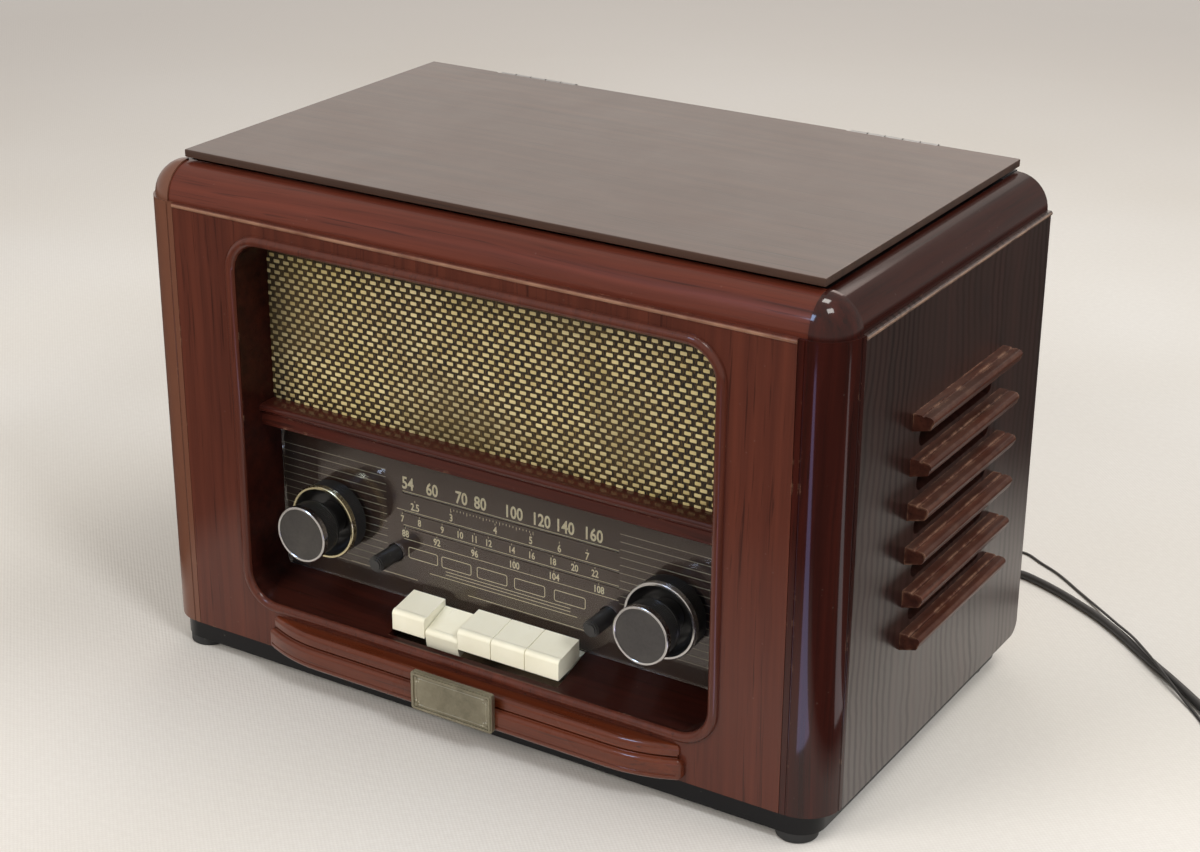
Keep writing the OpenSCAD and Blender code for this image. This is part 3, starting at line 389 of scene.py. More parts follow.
def circuit_board():
    """Green board with paler tracks under dust."""
    material, s, shader = new_material("circuit_board")
    tracks = s.node("ShaderNodeTexBrick", {"Vector": s.place(), "Scale": 120.0, "Mortar Size": 0.03})
    body = s.mix(tracks.outputs["Fac"], (0.03, 0.14, 0.06), (0.10, 0.26, 0.12))
    dusty = s.group(dust, amount=0.5, specks=0.3)[0]
    body = s.mix(s.times(dusty, 0.4), body, (0.4, 0.38, 0.33))
    finish(s, shader, base_color=body, roughness=0.4, normal=s.bump(tracks.outputs["Fac"], 0.3, 0.0001))
    return material


UP_GRAIN = (420, 420, 9)
WIDE_GRAIN = (9, 420, 420)
DEEP_GRAIN = (420, 9, 420)
bead_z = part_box("front_panel")[1][2] - 1.3 * MM
front_veneer = lacquered_wood("front_veneer", (0.130, 0.033, 0.018), (0.070, 0.018, 0.011),
                              (0.016, 0.005, 0.004), UP_GRAIN, 0.34, 0.08, bead=bead_z)
rail_wood = lacquered_wood("rail_wood", (0.160, 0.034, 0.017), (0.075, 0.016, 0.009),
                           (0.02, 0.006, 0.004), WIDE_GRAIN, 0.32, 0.06, coat=0.45)
side_rail_wood = lacquered_wood("side_rail_wood", (0.048, 0.009, 0.005), (0.016, 0.003, 0.002),
                                (0.010, 0.004, 0.003), DEEP_GRAIN, 0.32, 0.10, coat=0.4, shine=0.02)
# The left post and left corner block are painted paler through left: painted light on the radio's left end.
post_wood = lacquered_wood("post_wood", (0.060, 0.009, 0.005), (0.016, 0.003, 0.002),
                           (0.010, 0.004, 0.003), UP_GRAIN, 0.3, 0.08, coat=0.65, shine=0.03, mirror=1.55,
                           left=(0.17, 0.07, 0.042))
apron_wood = lacquered_wood("apron_wood", (0.205, 0.043, 0.013), (0.080, 0.016, 0.006),
                            (0.020, 0.006, 0.004), WIDE_GRAIN, 0.28, 0.05, coat=0.8)
side_veneer = lacquered_wood("side_veneer", (0.048, 0.014, 0.010), (0.017, 0.005, 0.003),
                             (0.004, 0.003, 0.003), (330, 330, 6), 0.42, 0.30, coat=1.0,
                             waviness=1.2, rings=0.7, shine=0.02, bead=bead_z, mirror=2.0)
lid_veneer = lacquered_wood("lid_veneer", (0.090, 0.044, 0.028), (0.038, 0.019, 0.012),
                            (0.010, 0.006, 0.005), WIDE_GRAIN, 0.40, 0.26, coat=0.48, wear=0.3,
                            film=0.04, shine=0.4)
# The slats' wide rubbed edges and their dust film on up-facing faces are partly real wear and dust, partly a
# painted highlight that lightens the tops of the slats.
slat_wood = lacquered_wood("slat_wood", (0.125, 0.040, 0.024), (0.034, 0.011, 0.007),
                           (0.010, 0.005, 0.005), DEEP_GRAIN, 0.34, 0.1, coat=0.2, wear=0.8, film=0.15,
                           shine=0.05, rub=0.0018)
# Painted shade: the recess wood is painted far darker than the front veneer, for the shade inside the
# opening.
recess_wood_painted_shade = lacquered_wood("recess_wood_painted_shade", (0.046, 0.009, 0.005), (0.016, 0.004, 0.003),
                             (0.006, 0.002, 0.001), WIDE_GRAIN, 0.34, 0.14, film=0.02, coat=0.22,
                             shine=0.06)
middle_rail_wood = lacquered_wood("middle_rail_wood", (0.105, 0.021, 0.012), (0.042, 0.009, 0.006),
                                  (0.012, 0.004, 0.003), WIDE_GRAIN, 0.32, 0.08)
inner_board = raw_board("inner_board", (0.46, 0.34, 0.22), (0.30, 0.20, 0.12))
plinth_lacquer = moulded_plastic("plinth_lacquer", (0.003, 0.003, 0.004), 0.3, 0.1, coat=0.35, film=0.04,
                                 wear=0.1, shine=0.1)
foot_rubber = moulded_plastic("foot_rubber", (0.02, 0.02, 0.02), 0.7, 0.5, film=0.4)
knob_black = moulded_plastic("knob_black", (0.020, 0.019, 0.018), 0.34, 0.1, coat=0.3, wear=0.5, film=0.06)
knob_face = worn_metal("knob_face", (0.155, 0.145, 0.135), 0.40, (900, 12, 900), (0.09, 0.085, 0.08), 0.3)
key_ivory = moulded_plastic("key_ivory", (0.97, 0.945, 0.77), 0.3, 0.12, coat=0.5, wear=0.2,
                            film=0.04, dirt=(0.80, 0.73, 0.52))
deck_plastic = moulded_plastic("deck_plastic", (0.025, 0.025, 0.027), 0.55, 0.6, film=0.05)
pale_plastic = moulded_plastic("pale_plastic", (0.66, 0.63, 0.54), 0.45, 0.3)
chrome = worn_metal("chrome", (0.66, 0.64, 0.62), 0.12, tarnish=0.12)
warm_chrome = worn_metal("warm_chrome", (0.72, 0.64, 0.40), 0.13, tarnish=0.15)
steel = worn_metal("steel", (0.52, 0.52, 0.52), 0.3, (40, 900, 900))
antique_brass = worn_metal("antique_brass", (0.40, 0.365, 0.27), 0.38, (0, 0, 0),
                           (0.20, 0.18, 0.12), 0.5)
brass_relief = worn_metal("brass_relief", (0.60, 0.56, 0.44), 0.3, (0, 0, 0), (0.3, 0.27, 0.2), 0.3)
dial_black = moulded_plastic("dial_black", (0.028, 0.013, 0.007), 0.5, 0.0, wear=0.0, film=0.0)
window_glass = dial_window_glass()
weave = speaker_weave()
number_ink = printed_ink("dial_ink", (0.60, 0.52, 0.34), (0.46, 0.40, 0.25), 900.0)
stripe_ink = printed_ink("dim_ink", (0.27, 0.24, 0.17), (0.18, 0.16, 0.11), 500.0)
cord_black = cord_rubber()
board_green = circuit_board()

FINISHES = {
    front_veneer: ["front_panel", "opening_bead"],
    rail_wood: ["front_top_rail"],
    apron_wood: ["apron_moulding"],
    side_rail_wood: ["side_top_rails"],
    post_wood: ["corner_posts", "corner_blocks"],
    side_veneer: ["left_side_panel", "right_side_panel"],
    lid_veneer: ["lid"],
    slat_wood: ["louvre_slats"],
    recess_wood_painted_shade: ["recess_liner"],
    middle_rail_wood: ["middle_rail"],
    inner_board: ["bottom_board", "speaker_baffle", "rear_cover"],
    plinth_lacquer: ["plinth"],
    foot_rubber: ["feet", "strain_relief", "aerial_gland"],
    knob_black: ["volume_knob", "tone_ring", "tuning_knob", "selector_ring", "left_plunger",
                 "right_plunger", "speakers", "mains_plug"],
    key_ivory: ["power_key", "fm_key", "am_key", "cd_key", "aux_key"],
    deck_plastic: ["cd_deck", "spindle_hub", "laser_sled"],
    pale_plastic: ["tuning_drum", "sled_gear", "dial_pointer"],
    chrome: ["hinge_pins", "sled_rods", "key_rod", "rear_cover_screws"],
    steel: ["dial_chassis", "panel_controls", "tuning_capacitor",
            "transformer", "key_frame", "deck_motors", "hinge_leaves", "lid_leaves"],
    antique_brass: ["nameplate"],
    dial_black: ["dial_plate"],
    window_glass: ["dial_glass"],
    board_green: ["main_board"],
}


def dress_nodes():
    for material, names in FINISHES.items():
        for name in names:
            piece = nodes[name]
            if not piece.material_slots:
                piece.data.materials.append(material)
            for place in piece.material_slots:
                place.material = material


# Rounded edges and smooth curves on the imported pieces

SMOOTH_UP_TO = math.radians(35)
ROUND_FROM = math.radians(40)


def smooth_by_angle():
    """A modifier tree that shades smooth, apart from edges sharper than SMOOTH_UP_TO."""
    tree = bpy.data.node_groups.new("smooth curves", "GeometryNodeTree")
    for way in ("INPUT", "OUTPUT"):
        tree.interface.new_socket("Geometry", in_out=way, socket_type="NodeSocketGeometry")
    s = Sheet(tree)
    given = tree.nodes.new("NodeGroupInput").outputs[0]
    angle = s.node("GeometryNodeInputMeshEdgeAngle").outputs["Unsigned Angle"]
    flat = s.node("FunctionNodeCompare", {0: angle, 1: SMOOTH_UP_TO}, data_type="FLOAT",
                  operation="LESS_EQUAL").outputs[0]
    faces = s.node("GeometryNodeSetShadeSmooth", {"Geometry": given}, domain="FACE").outputs[0]
    edges = s.node("GeometryNodeSetShadeSmooth", {"Geometry": faces, "Shade Smooth": flat}, domain="EDGE")
    s.put(tree.nodes.new("NodeGroupOutput").inputs[0], edges.outputs[0])
    return tree


smooth_tree = smooth_by_angle()


def soften(piece, width=0.0):
    """Welds the piece's facets, rounds its sharp edges by width and shades its curves smooth."""
    weld = piece.modifiers.new("weld", "WELD")
    weld.merge_threshold = 0.01 * MM
    if width:
        bevel = piece.modifiers.new("rounded edges", "BEVEL")
        bevel.width = width
        bevel.segments = 2
        bevel.limit_method = "ANGLE"
        bevel.angle_limit = ROUND_FROM
        bevel.use_clamp_overlap = True
        bevel.miter_outer = "MITER_ARC"
    smooth = piece.modifiers.new("smooth curves", "NODES")
    smooth.node_group = smooth_tree
    flat = piece.modifiers.new("flat faces stay flat", "WEIGHTED_NORMAL")
    flat.mode = "FACE_AREA"
    flat.weight = 100
    flat.keep_sharp = True


# Widths of the rounded edges, in millimetres
ROUNDED = {"lid": 0.5, "left_side_panel": 0.5, "right_side_panel": 0.5, "plinth": 0.6, "nameplate": 0.2,
           "louvre_slats": 0.3, "mains_plug": 0.8, **dict.fromkeys(FINISHES[key_ivory], 0.9)}


def soften_nodes():
    for name, piece in nodes.items():
        soften(piece, ROUNDED.get(name, 0) * MM)


# Meshes of the pieces made here

def add_piece(name, vertices, faces, material, body="cabinet", smooth=True):
    mesh = bpy.data.meshes.new(name)
    mesh.from_pydata(vertices, [], faces)
    mesh.update()
    for face in mesh.polygons:
        face.use_smooth = smooth
    mesh.materials.append(material)
    piece = new_object(name, mesh)
    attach(piece, body)
    return piece


class Outline:
    """Collects the vertices and faces of one piece."""

    def __init__(self):
        self.vertices = []
        self.faces = []

    def add(self, vertices, faces):
        start = len(self.vertices)
        self.vertices += vertices
        self.faces += [tuple(start + i for i in face) for face in faces]

    def bar(self, x0, x1, z0, z1, y0, y1):
        """A straight bar with flat faces."""
        points = [(x, y, z) for y in (y0, y1) for x, z in ((x0, z0), (x1, z0), (x1, z1), (x0, z1))]
        self.add(points, [(0, 1, 2, 3), (7, 6, 5, 4), (0, 4, 5, 1), (1, 5, 6, 2), (2, 6, 7, 3), (3, 7, 4, 0)])

    def turn(self, profile, x, z, steps):
        """Adds the points of a profile of (radius, y), repeated round the axis along Y at (x, z)."""
        start = len(self.vertices)
        for k in range(steps):
            c = math.cos(2 * math.pi * k / steps)
            n = math.sin(2 * math.pi * k / steps)
            self.vertices += [(x + r * c, y, z + r * n) for r, y in profile]
        return start

    def lathe(self, profile, x, z, steps=96):
        """Turns a closed profile that stays off the axis."""
        count = len(profile)
        start = self.turn(profile, x, z, steps)
        for k in range(steps):
            here, after = start + k * count, start + (k + 1) % steps * count
            for i in range(count):
                j = (i + 1) % count
                self.faces.append((here + i, here + j, after + j, after + i))

    def dome(self, profile, x, z, steps=96):
        """Turns an open profile that starts and ends on the axis."""
        last = len(profile) - 3
        start = self.turn(profile[1:-1], x, z, steps)
        first = len(self.vertices)
        self.vertices += [(x, profile[0][1], z), (x, profile[-1][1], z)]
        for k in range(steps):
            here, after = start + k * (last + 1), start + (k + 1) % steps * (last + 1)
            self.faces.append((first, here, after))
            self.faces.append((first + 1, after + last, here + last))
            for i in range(last):
                self.faces.append((here + i, here + i + 1, after + i + 1, after + i))


# Speaker cloth

CLOTH_EDGE = 0.1 * MM
CLOTH_CORNER = 16 * MM
DASH_RISE = 0.35 * MM


def cloth_half_width(z):
    """Half the cloth's width at height z, inside the round upper corners of the recess."""
    full = cloth_high[0] - CLOTH_EDGE
    rise = max(0.0, z - (cloth_high[2] - CLOTH_CORNER))
    return full - CLOTH_CORNER + math.sqrt(max(0.0, CLOTH_CORNER ** 2 - min(rise, CLOTH_CORNER) ** 2))


def weave_height(x, z):
    """How far a dash of the weave stands out at x and z, from 0 to 1."""
    row = z / ROW_PITCH
    column = x / DASH_PITCH + (math.floor(row) % 2) * 0.5
    across = abs(column - math.floor(column) - 0.5) / 0.30
    up = abs(row - math.floor(row) - 0.5) / 0.36
    return max(0.0, 1 - across ** 3) * max(0.0, 1 - up ** 2)


def speaker_cloth():
    """Woven cloth stretched over the baffle, with its dashes raised."""
    columns, rows = 360, 150
    back = cloth_high[1] - CLOTH_EDGE
    top = cloth_high[2] - CLOTH_EDGE
    points = []
    for j in range(rows + 1):
        z = cloth_low[2] + (top - cloth_low[2]) * j / rows
        half = cloth_half_width(z)
        for i in range(columns + 1):
            x = -half + 2 * half * i / columns
            sag = 0.1 * MM * math.sin(x * 55) * math.sin(z * 47)
            points.append((x, back - DASH_RISE - DASH_RISE * weave_height(x, z) + sag, z))
    wide = columns + 1
    faces = [(i, i + 1, i + wide + 1, i + wide)
             for j in range(rows) for i in range(j * wide, j * wide + columns)]
    cloth = add_piece("speaker_cloth", points, faces, weave)
    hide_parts("grille_cloth")


# Dial print, in millimetres on the dial plate

INK_DEPTH = 0.06 * MM
INK = (dial_face_y - INK_DEPTH, dial_face_y - INK_DEPTH / 2)
NARROW = 0.80
FONT_SIZE = 1.38 * MM
FONT_WEIGHT = 0.032 * MM


def dial_text(words, x, z, height):
    """Flat vertices and faces of a number whose middle is at x and z."""
    curve = bpy.data.curves.new("number", "FONT")
    curve.body = words
    curve.align_x = "CENTER"
    curve.align_y = "CENTER"
    curve.size = height * FONT_SIZE
    curve.offset = height * FONT_WEIGHT
    curve.resolution_u = 3
    made = bpy.data.objects.new("number", curve)
    mesh = bpy.data.meshes.new_from_object(made)
    points = [(x * MM + v.co.x * NARROW, INK[0], z * MM + v.co.y) for v in mesh.vertices]
    faces = [tuple(face.vertices) for face in mesh.polygons]
    bpy.data.objects.remove(made)
    bpy.data.curves.remove(curve)
    bpy.data.meshes.remove(mesh)
    return points, faces


# Middle height and size of each row of numbers, with the places of its numbers
SCALES = [
    (115.9, 6.8, {54: -56.6, 60: -41.4, 70: -23.2, 80: -11.7, 100: 8.4, 120: 24.8, 140: 38.7, 160: 55.2}),
    (103.5, 4.1, {2.5: -52.4, 3: -29.8, 4: -2.8, 5: 18.6, 6: 35.5, 7: 51.7}),
    (95.3, 3.8, {7: -60.6, 8: -49.8, 9: -35.5, 10: -24.6, 11: -15.6, 12: -7.0, 14: 7.1, 16: 19.0,
                 18: 31.6, 20: 44.5, 22: 56.3}),
    (87.2, 3.9, {88: -58.9, 92: -39.0, 96: -15.6, 100: 8.5, 104: 32.3, 108: 58.5}),
]
# Height and ends of each line
SCALE_LINES = [(111.5, -60, 70), (100.7, -64, 70), (92.3, -60, 70), (84.4, -60, 70)]
LOWER_LINES = [(72.2, -34, 42), (70.4, -34, 42), (68.4, -44, 46), (62.3, -95, -52), (62.3, -20, 50)]
TICK_TOP = 108.8
TICK_PLACES = range(-30, 22, 2)
LONG_TICK, SHORT_TICK = 1.8, 1.0
BOX_STARTS = [-57.3, -36.4, -14.4, 8.4, 32.3]
BOX_WIDTH = 18.6
BOX_LOW, BOX_HIGH = 74.0, 80.4
BOX_CORNER = 1.2
# Widths of the lines
FINE, MEDIUM, BROAD = 0.3, 0.35, 0.4
STRIPE_TOP, STRIPE_PITCH, STRIPE_COUNT = 120.8, 4.2, 15
STRIPE_ENDS = (70.5, 137.2)
HOLE_X, HOLE_Z, HOLE_RADIUS = 101.6, 88.5, 5.6


def add_print(name, ink, colour):
    add_piece(name, ink.vertices, ink.faces, colour, smooth=False)


def ink_line(ink, x0, x1, z, thick):
    ink.bar(x0 * MM, x1 * MM, (z - thick / 2) * MM, (z + thick / 2) * MM, *INK)


def ink_tick(ink, x, z0, z1):
    ink.bar((x - FINE / 2) * MM, (x + FINE / 2) * MM, z0 * MM, z1 * MM, *INK)


def scale_numbers():
    ink = Outline()
    for z, height, numbers in SCALES:
        for number, x in numbers.items():
            ink.add(*dial_text(str(number), x, z, height))
    add_print("dial_numbers", ink, number_ink)


def scale_lines():
    ink = Outline()
    for z, x0, x1 in SCALE_LINES:
        ink_line(ink, x0, x1, z, FINE)
    for z, x0, x1 in LOWER_LINES:
        ink_line(ink, x0, x1, z, MEDIUM)
    for k, x in enumerate(TICK_PLACES):
        ink_tick(ink, x, TICK_TOP - (SHORT_TICK if k % 5 else LONG_TICK), TICK_TOP)
    for z, height, numbers in SCALES[1:]:
        low = z + height * 0.72
        for x in numbers.values():
            ink_tick(ink, x, low, low + SHORT_TICK)
    add_print("dial_scale_lines", ink, number_ink)


def rounded_box(x0, x1, z0, z1, radius, steps=5):
    """Corner points of a rectangle with round corners, anticlockwise."""
    points = []
    for x, z, start in ((x1 - radius, z0 + radius, -90), (x1 - radius, z1 - radius, 0),
                        (x0 + radius, z1 - radius, 90), (x0 + radius, z0 + radius, 180)):
        for k in range(steps + 1):
            a = math.radians(start + 90 * k / steps)
            points.append((x + radius * math.cos(a), z + radius * math.sin(a)))
    return points


def frame_line(shape, x0, x1, z0, z1, radius, thick, y0, y1):
    """A closed line of the given thickness round a rectangle with round corners."""
    outer = rounded_box(x0, x1, z0, z1, radius)
    inner = rounded_box(x0 + thick, x1 - thick, z0 + thick, z1 - thick, max(radius - thick, 0.05 * MM))
    n = len(outer)
    faces = []
    for i in range(n):
        j = (i + 1) % n
        faces += [(i, j, n + j, n + i), (2 * n + i, 3 * n + i, 3 * n + j, 2 * n + j),
                  (j, i, 2 * n + i, 2 * n + j), (n + i, n + j, 3 * n + j, 3 * n + i)]
    shape.add([(x, y, z) for y in (y0, y1) for x, z in outer + inner], faces)


def empty_boxes():
    ink = Outline()
    for x in BOX_STARTS:
        frame_line(ink, x * MM, (x + BOX_WIDTH) * MM, BOX_LOW * MM, BOX_HIGH * MM, BOX_CORNER * MM,
                   BROAD * MM, *INK)
    add_print("dial_boxes", ink, number_ink)


def side_stripes():
    """Fine stripes on the dial's left and right ends, cut short by the control holes."""
    ink = Outline()
    for k in range(STRIPE_COUNT):
        z = STRIPE_TOP - STRIPE_PITCH * k
        half = math.sqrt(max(0.0, HOLE_RADIUS ** 2 - (z - HOLE_Z) ** 2))
        for side in (-1, 1):
            low, high = sorted(side * x for x in STRIPE_ENDS)
            if half:
                ink_line(ink, low, side * HOLE_X - half, z, BROAD)
                ink_line(ink, side * HOLE_X + half, high, z, BROAD)
            else:
                ink_line(ink, low, high, z, BROAD)
    add_print("dial_side_stripes", ink, stripe_ink)


# Knobs and the rings behind them, as (radius, distance behind their own front) in millimetres

knob_low, knob_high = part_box("tuning_knob")
knob_x = (knob_low[0] + knob_high[0]) / 2
knob_z = (knob_low[2] + knob_high[2]) / 2
knob_front = knob_low[1]
ring_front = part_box("selector_ring")[0][1]
KNOB_BODY = [(0, 1.1), (13.7, 1.1), (13.8, 12.6), (14.05, 12.75), (14.0, 13.5), (13.5, 14.6), (12.6, 15.4),
             (11.2, 15.9), (9.0, 16.2), (8.6, 17.0), (8.6, 26.6), (3.0, 26.8), (2.9, 44), (0, 44)]
KNOB_RIM = [(13.8, 1.0), (13.85, 0.15), (14.1, -0.08), (14.8, -0.08), (15.15, 0.25), (15.15, 3.3),
            (14.85, 3.65), (13.9, 3.65), (13.9, 1.2)]
KNOB_FACE = [(0, 0.40)] + [(k * 1.25, 0.40 + 0.015 * (k % 2)) for k in range(1, 11)] + [
    (13.75, 0.44), (13.78, 1.2), (0, 1.2)]
RING_BODY = [(18.4, 0.9), (18.2, 1.3), (17.9, 3.0), (17.0, 6.0), (15.0, 8.6), (12.2, 9.8), (9.4, 10.2),
             (3.6, 10.3), (3.6, 24), (4.9, 24), (4.9, 12.2), (19.0, 12.2), (19.0, 3.4), (18.6, 3.4)]
RING_RIM = [(18.3, 1.3), (18.35, 0.1), (18.6, -0.1), (19.55, -0.1), (19.95, 0.3), (19.95, 3.1),
            (19.65, 3.5), (18.7, 3.5), (18.5, 1.4)]
KNURL_DEPTH = 0.4


def knurl(shape, x, front, radius, y0, y1, count):
    """Fine ribs along the axis, round a cylinder that reaches from y0 to y1 behind front."""
    points = []
    for k in range(4 * count):
        a = 2 * math.pi * (k + (0.2 if k % 2 else -0.2)) / (4 * count)
        rib = radius if k % 4 < 2 else radius - KNURL_DEPTH
        for y, fall in ((y0, KNURL_DEPTH), (y0 + KNURL_DEPTH, 0), (y1 - KNURL_DEPTH, 0), (y1, KNURL_DEPTH)):
            r = (rib - fall) * MM
            points.append((x + r * math.cos(a), front + y * MM, knob_z + r * math.sin(a)))
    total = len(points)
    faces = [((4 * k + i) % total, (4 * k + i + 1) % total, (4 * k + i + 5) % total, (4 * k + i + 4) % total)
             for k in range(4 * count) for i in range(3)]
    shape.add(points, faces)


def turned_piece(name, node, x, front, profile, material, grip=None, steps=96):
    """A piece turned round the knob's axis at x. grip is the radius, start, end and count of its ribs."""
    shape = Outline()
    turn = shape.lathe if profile[0][0] else shape.dome
    turn([(r * MM, front + y * MM) for r, y in profile], x, knob_z, steps)
    if grip:
        knurl(shape, x, front, *grip)
    piece = add_piece(name, shape.vertices, shape.faces, material, node)
    soften(piece)
    return piece


def front_knob(name, x, node):
    """Black knob with a fine grip, a chromed band and a grey metal face turned in circles."""
    grip = (14.4, 3.7, 12.5, 100)
    piece = turned_piece(name, node, x, knob_front, KNOB_BODY, knob_black, grip)
    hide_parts(node)
    turned_piece(name + "_rim", node, x, knob_front, KNOB_RIM, chrome)
    turned_piece(name + "_face", node, x, knob_front, KNOB_FACE, knob_face, steps=128)


def outer_ring(name, x, node, metal):
    """Black bowl round a front knob, with a bright band and a fine grip."""
    grip = (19.5, 3.5, 12.1, 132)
    piece = turned_piece(name, node, x, ring_front, RING_BODY, knob_black, grip)
    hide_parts(node)
    turned_piece(name + "_rim", node, x, ring_front, RING_RIM, metal, steps=128)


# Rounded ends of the apron's ribs, in millimetres

APRON_BEND = math.radians(25.06)
APRON_REACH = 4.68
APRON_END_X = 123.9
APRON_RIBS = [(4.0, 10.4, APRON_REACH, 2.5), (15.4, 16.9, APRON_REACH - 2.9, 2.8)]
NOSE_LENGTH, NOSE_NARROWING = 0.8, 0.14


def rib_section(low, high, reach, radius):
    """The outline of a rib, as (distance out, height), with round edges."""
    arc = [math.radians(6 * k) for k in range(16)]
    return ([(max(0.0, reach - radius + radius * math.sin(a)), low - radius * math.cos(a)) for a in arc]
            + [(max(0.0, reach - radius + radius * math.cos(a)), high + radius * math.sin(a)) for a in arc])


def apron_ends():
    """Closes each rib's end with a round nose that turns back to the front panel."""
    shape = Outline()
    base_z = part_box("plinth")[1][2]
    panel_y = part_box("apron_moulding")[1][1]
    out, back = math.cos(APRON_BEND), math.sin(APRON_BEND)
    foot_x = APRON_END_X - APRON_REACH * back
    turns = [math.radians(-8 + 6 * k) for k in range(22)]
    for side in (-1, 1):
        for rib in (rib_section(*sizes) for sizes in APRON_RIBS):
            middle = (rib[0][1] + rib[-1][1]) / 2
            points = []
            for a in turns:
                along = NOSE_LENGTH * math.sin(a)
                narrowed = 1 - NOSE_NARROWING * math.sin(a) ** 2
                for r, z in rib:
                    x = foot_x + r * (back * math.cos(a) + out * along)
                    y = r * (back * along - out * math.cos(a))
                    z = middle + (z - middle) * narrowed
                    points.append((side * x * MM, panel_y + y * MM, base_z + z * MM))
            n = len(rib)
            faces = [(i, i + n, i + n + 1, i + 1)[::side] for k in range(len(turns) - 1)
                     for i in range(k * n, k * n + n - 1)]
            shape.add(points, faces)
    piece = add_piece("apron_ends", shape.vertices, shape.faces, apron_wood)
    soften(piece)


# Nameplate relief: an inner line and five round beads in each corner, in millimetres

PLATE_FACE = 0.62
PLATE_MARGIN = 3.1
PLATE_CORNER, PLATE_LINE = 0.6, 0.3
CORNER_BEADS = [(5.4, 3.3, 0.65), (3.3, 5.4, 0.65), (6.9, 3.1, 0.4), (3.1, 6.9, 0.4), (4.9, 4.9, 0.5)]


def nameplate_relief():
    low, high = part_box("nameplate")
    face = low[1] + PLATE_FACE * MM
    edge = PLATE_MARGIN * MM
    relief = Outline()
    frame_line(relief, low[0] + edge, high[0] - edge, low[2] + edge, high[2] - edge, PLATE_CORNER * MM,
               PLATE_LINE * MM, face - 0.22 * MM, face + 0.05 * MM)
    for sx, x in ((1, low[0]), (-1, high[0])):
        for sz, z in ((1, low[2]), (-1, high[2])):
            for dx, dz, r in CORNER_BEADS:
                bead = [(0, -0.75 * r), (0.5 * r, -0.65 * r), (0.87 * r, -0.35 * r), (r, 0.1), (0, 0.1)]
                relief.dome([(a * MM, face + b * MM) for a, b in bead], x + sx * dx * MM,
                            z + sz * dz * MM, 16)
    add_piece("nameplate_relief", relief.vertices, relief.faces, brass_relief)


# Leads: the same routes as the cords' solids, in millimetres

MAINS_D = 4.6
AERIAL_D = 1.5
COIL_GAP = 0.55
MAINS_ROUTE = [
    (130, 134.75, 45.5), (130, 142, 45), (130, 149.5, 42), (130.5, 155, 36), (131, 159, 28),
    (132, 163, 19.5), (134, 168, 11.5), (137, 175, 5.5), (142, 183, 2.7), (149, 191, 2.3),
    (158, 197.5, 2.3), (167, 200.4, 2.3), (180, 196.5, 2.3), (194, 190.5, 2.3), (209, 182.5, 2.3),
    (225, 173, 2.3), (245, 158, 2.3), (265, 141, 2.3), (285, 125, 2.3), (304, 108.5, 2.3),
    (318, 94.5, 2.3), (332, 80.5, 2.3)]
AERIAL_ROUTE = [
    (100, 116.65, 110.5), (100, 124, 110), (100, 132, 106), (100.5, 138, 97), (101, 141, 84),
    (101.5, 143, 68), (102, 145, 52), (103, 148, 36), (104, 153, 21), (107, 162, 9), (112, 174, 2.5),
    (119, 189, 0.8), (128, 205, 0.8), (140, 220, 0.8), (155, 230.5, 0.8), (170, 223, 0.8),
    (185, 214, 0.8), (203, 199.5, 0.8), (220, 185, 1.6), (236, 169, 3.9), (251, 154, 6.1),
    (266, 138.5, 6.1), (281, 124, 3.9), (295, 110.5, 1.6), (307.5, 97.5, 0.8), (318, 83, 0.8),
    (328, 68, 0.8), (337, 54.5, 0.8), (346, 41, 0.8)]


def smooth_route(route, steps=6):
    """Points on a smooth curve through the route, with steps of them from each of its points to the next."""
    points = [Vector(p) for p in route]
    last = len(points) - 1
    line = []
    for i in range(last):
        a, b, c, d = points[max(i - 1, 0)], points[i], points[i + 1], points[min(i + 2, last)]
        for k in range(steps):
            t = k / steps
            line.append(0.5 * (2 * b + (c - a) * t + (2 * a - 5 * b + 4 * c - d) * t ** 2
                               + (3 * b - a - 3 * c + d) * t ** 3))
    return line + [points[-1]]


def coil_route(last, d, turns, mean_r, start, lead_out, steps=48):
    """A coil of two layers that winds in below and out again above, with a straight lead at each end."""
    pitch = d + COIL_GAP
    out_r = mean_r + turns * pitch / 4
    first = math.radians(start)
    centre_x = last[0] - d * math.sin(first) - out_r * math.cos(first)
    centre_y = last[1] + d * math.cos(first) - out_r * math.sin(first)
    line = []
    for i in range(int(turns * steps) + 1):
        t = i / steps
        a = first + 2 * math.pi * t
        r = mean_r - turns * pitch / 4 + pitch * abs(t - turns / 2)
        z = d / 2 + pitch * min(1, max(0, (t - turns / 2 + 0.25) * 2))
        line.append(Vector((centre_x + r * math.cos(a), centre_y + r * math.sin(a), z)))
    end = first + 2 * math.pi * turns
    line.append(line[-1] + lead_out * Vector((-math.sin(end), math.cos(end), 0)))
    return line


def lead(name, points, diameter):
    """A round lead along the points, as one curve."""
    curve = bpy.data.curves.new(name, "CURVE")
    curve.dimensions = "3D"
    curve.bevel_depth = diameter / 2 * MM
    curve.bevel_resolution = 4
    curve.use_fill_caps = True
    spline = curve.splines.new("POLY")
    spline.points.add(len(points) - 1)
    for point, place in zip(spline.points, points):
        point.co = (*(place * MM), 1)
    spline.use_smooth = True
    curve.materials.append(cord_black)
    piece = new_object(name, curve)
    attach(piece, "cabinet")
    return piece


def mains_lead():
    points = smooth_route(MAINS_ROUTE)
    points += coil_route(MAINS_ROUTE[-1], MAINS_D, turns=6.5, mean_r=27.6, start=225, lead_out=20)
    piece = lead("mains_lead", points, MAINS_D)
    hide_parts("mains_cord", "mains_cord_coil")


def aerial_lead():
    points = smooth_route(AERIAL_ROUTE)
    points += coil_route(AERIAL_ROUTE[-1], AERIAL_D, turns=5.5, mean_r=8.5, start=213.7, lead_out=AERIAL_D)
    piece = lead("aerial_lead", points, AERIAL_D)
    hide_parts("aerial_wire", "aerial_wire_coil")


# Studio, in metres

FLOOR_HALF = 4.0


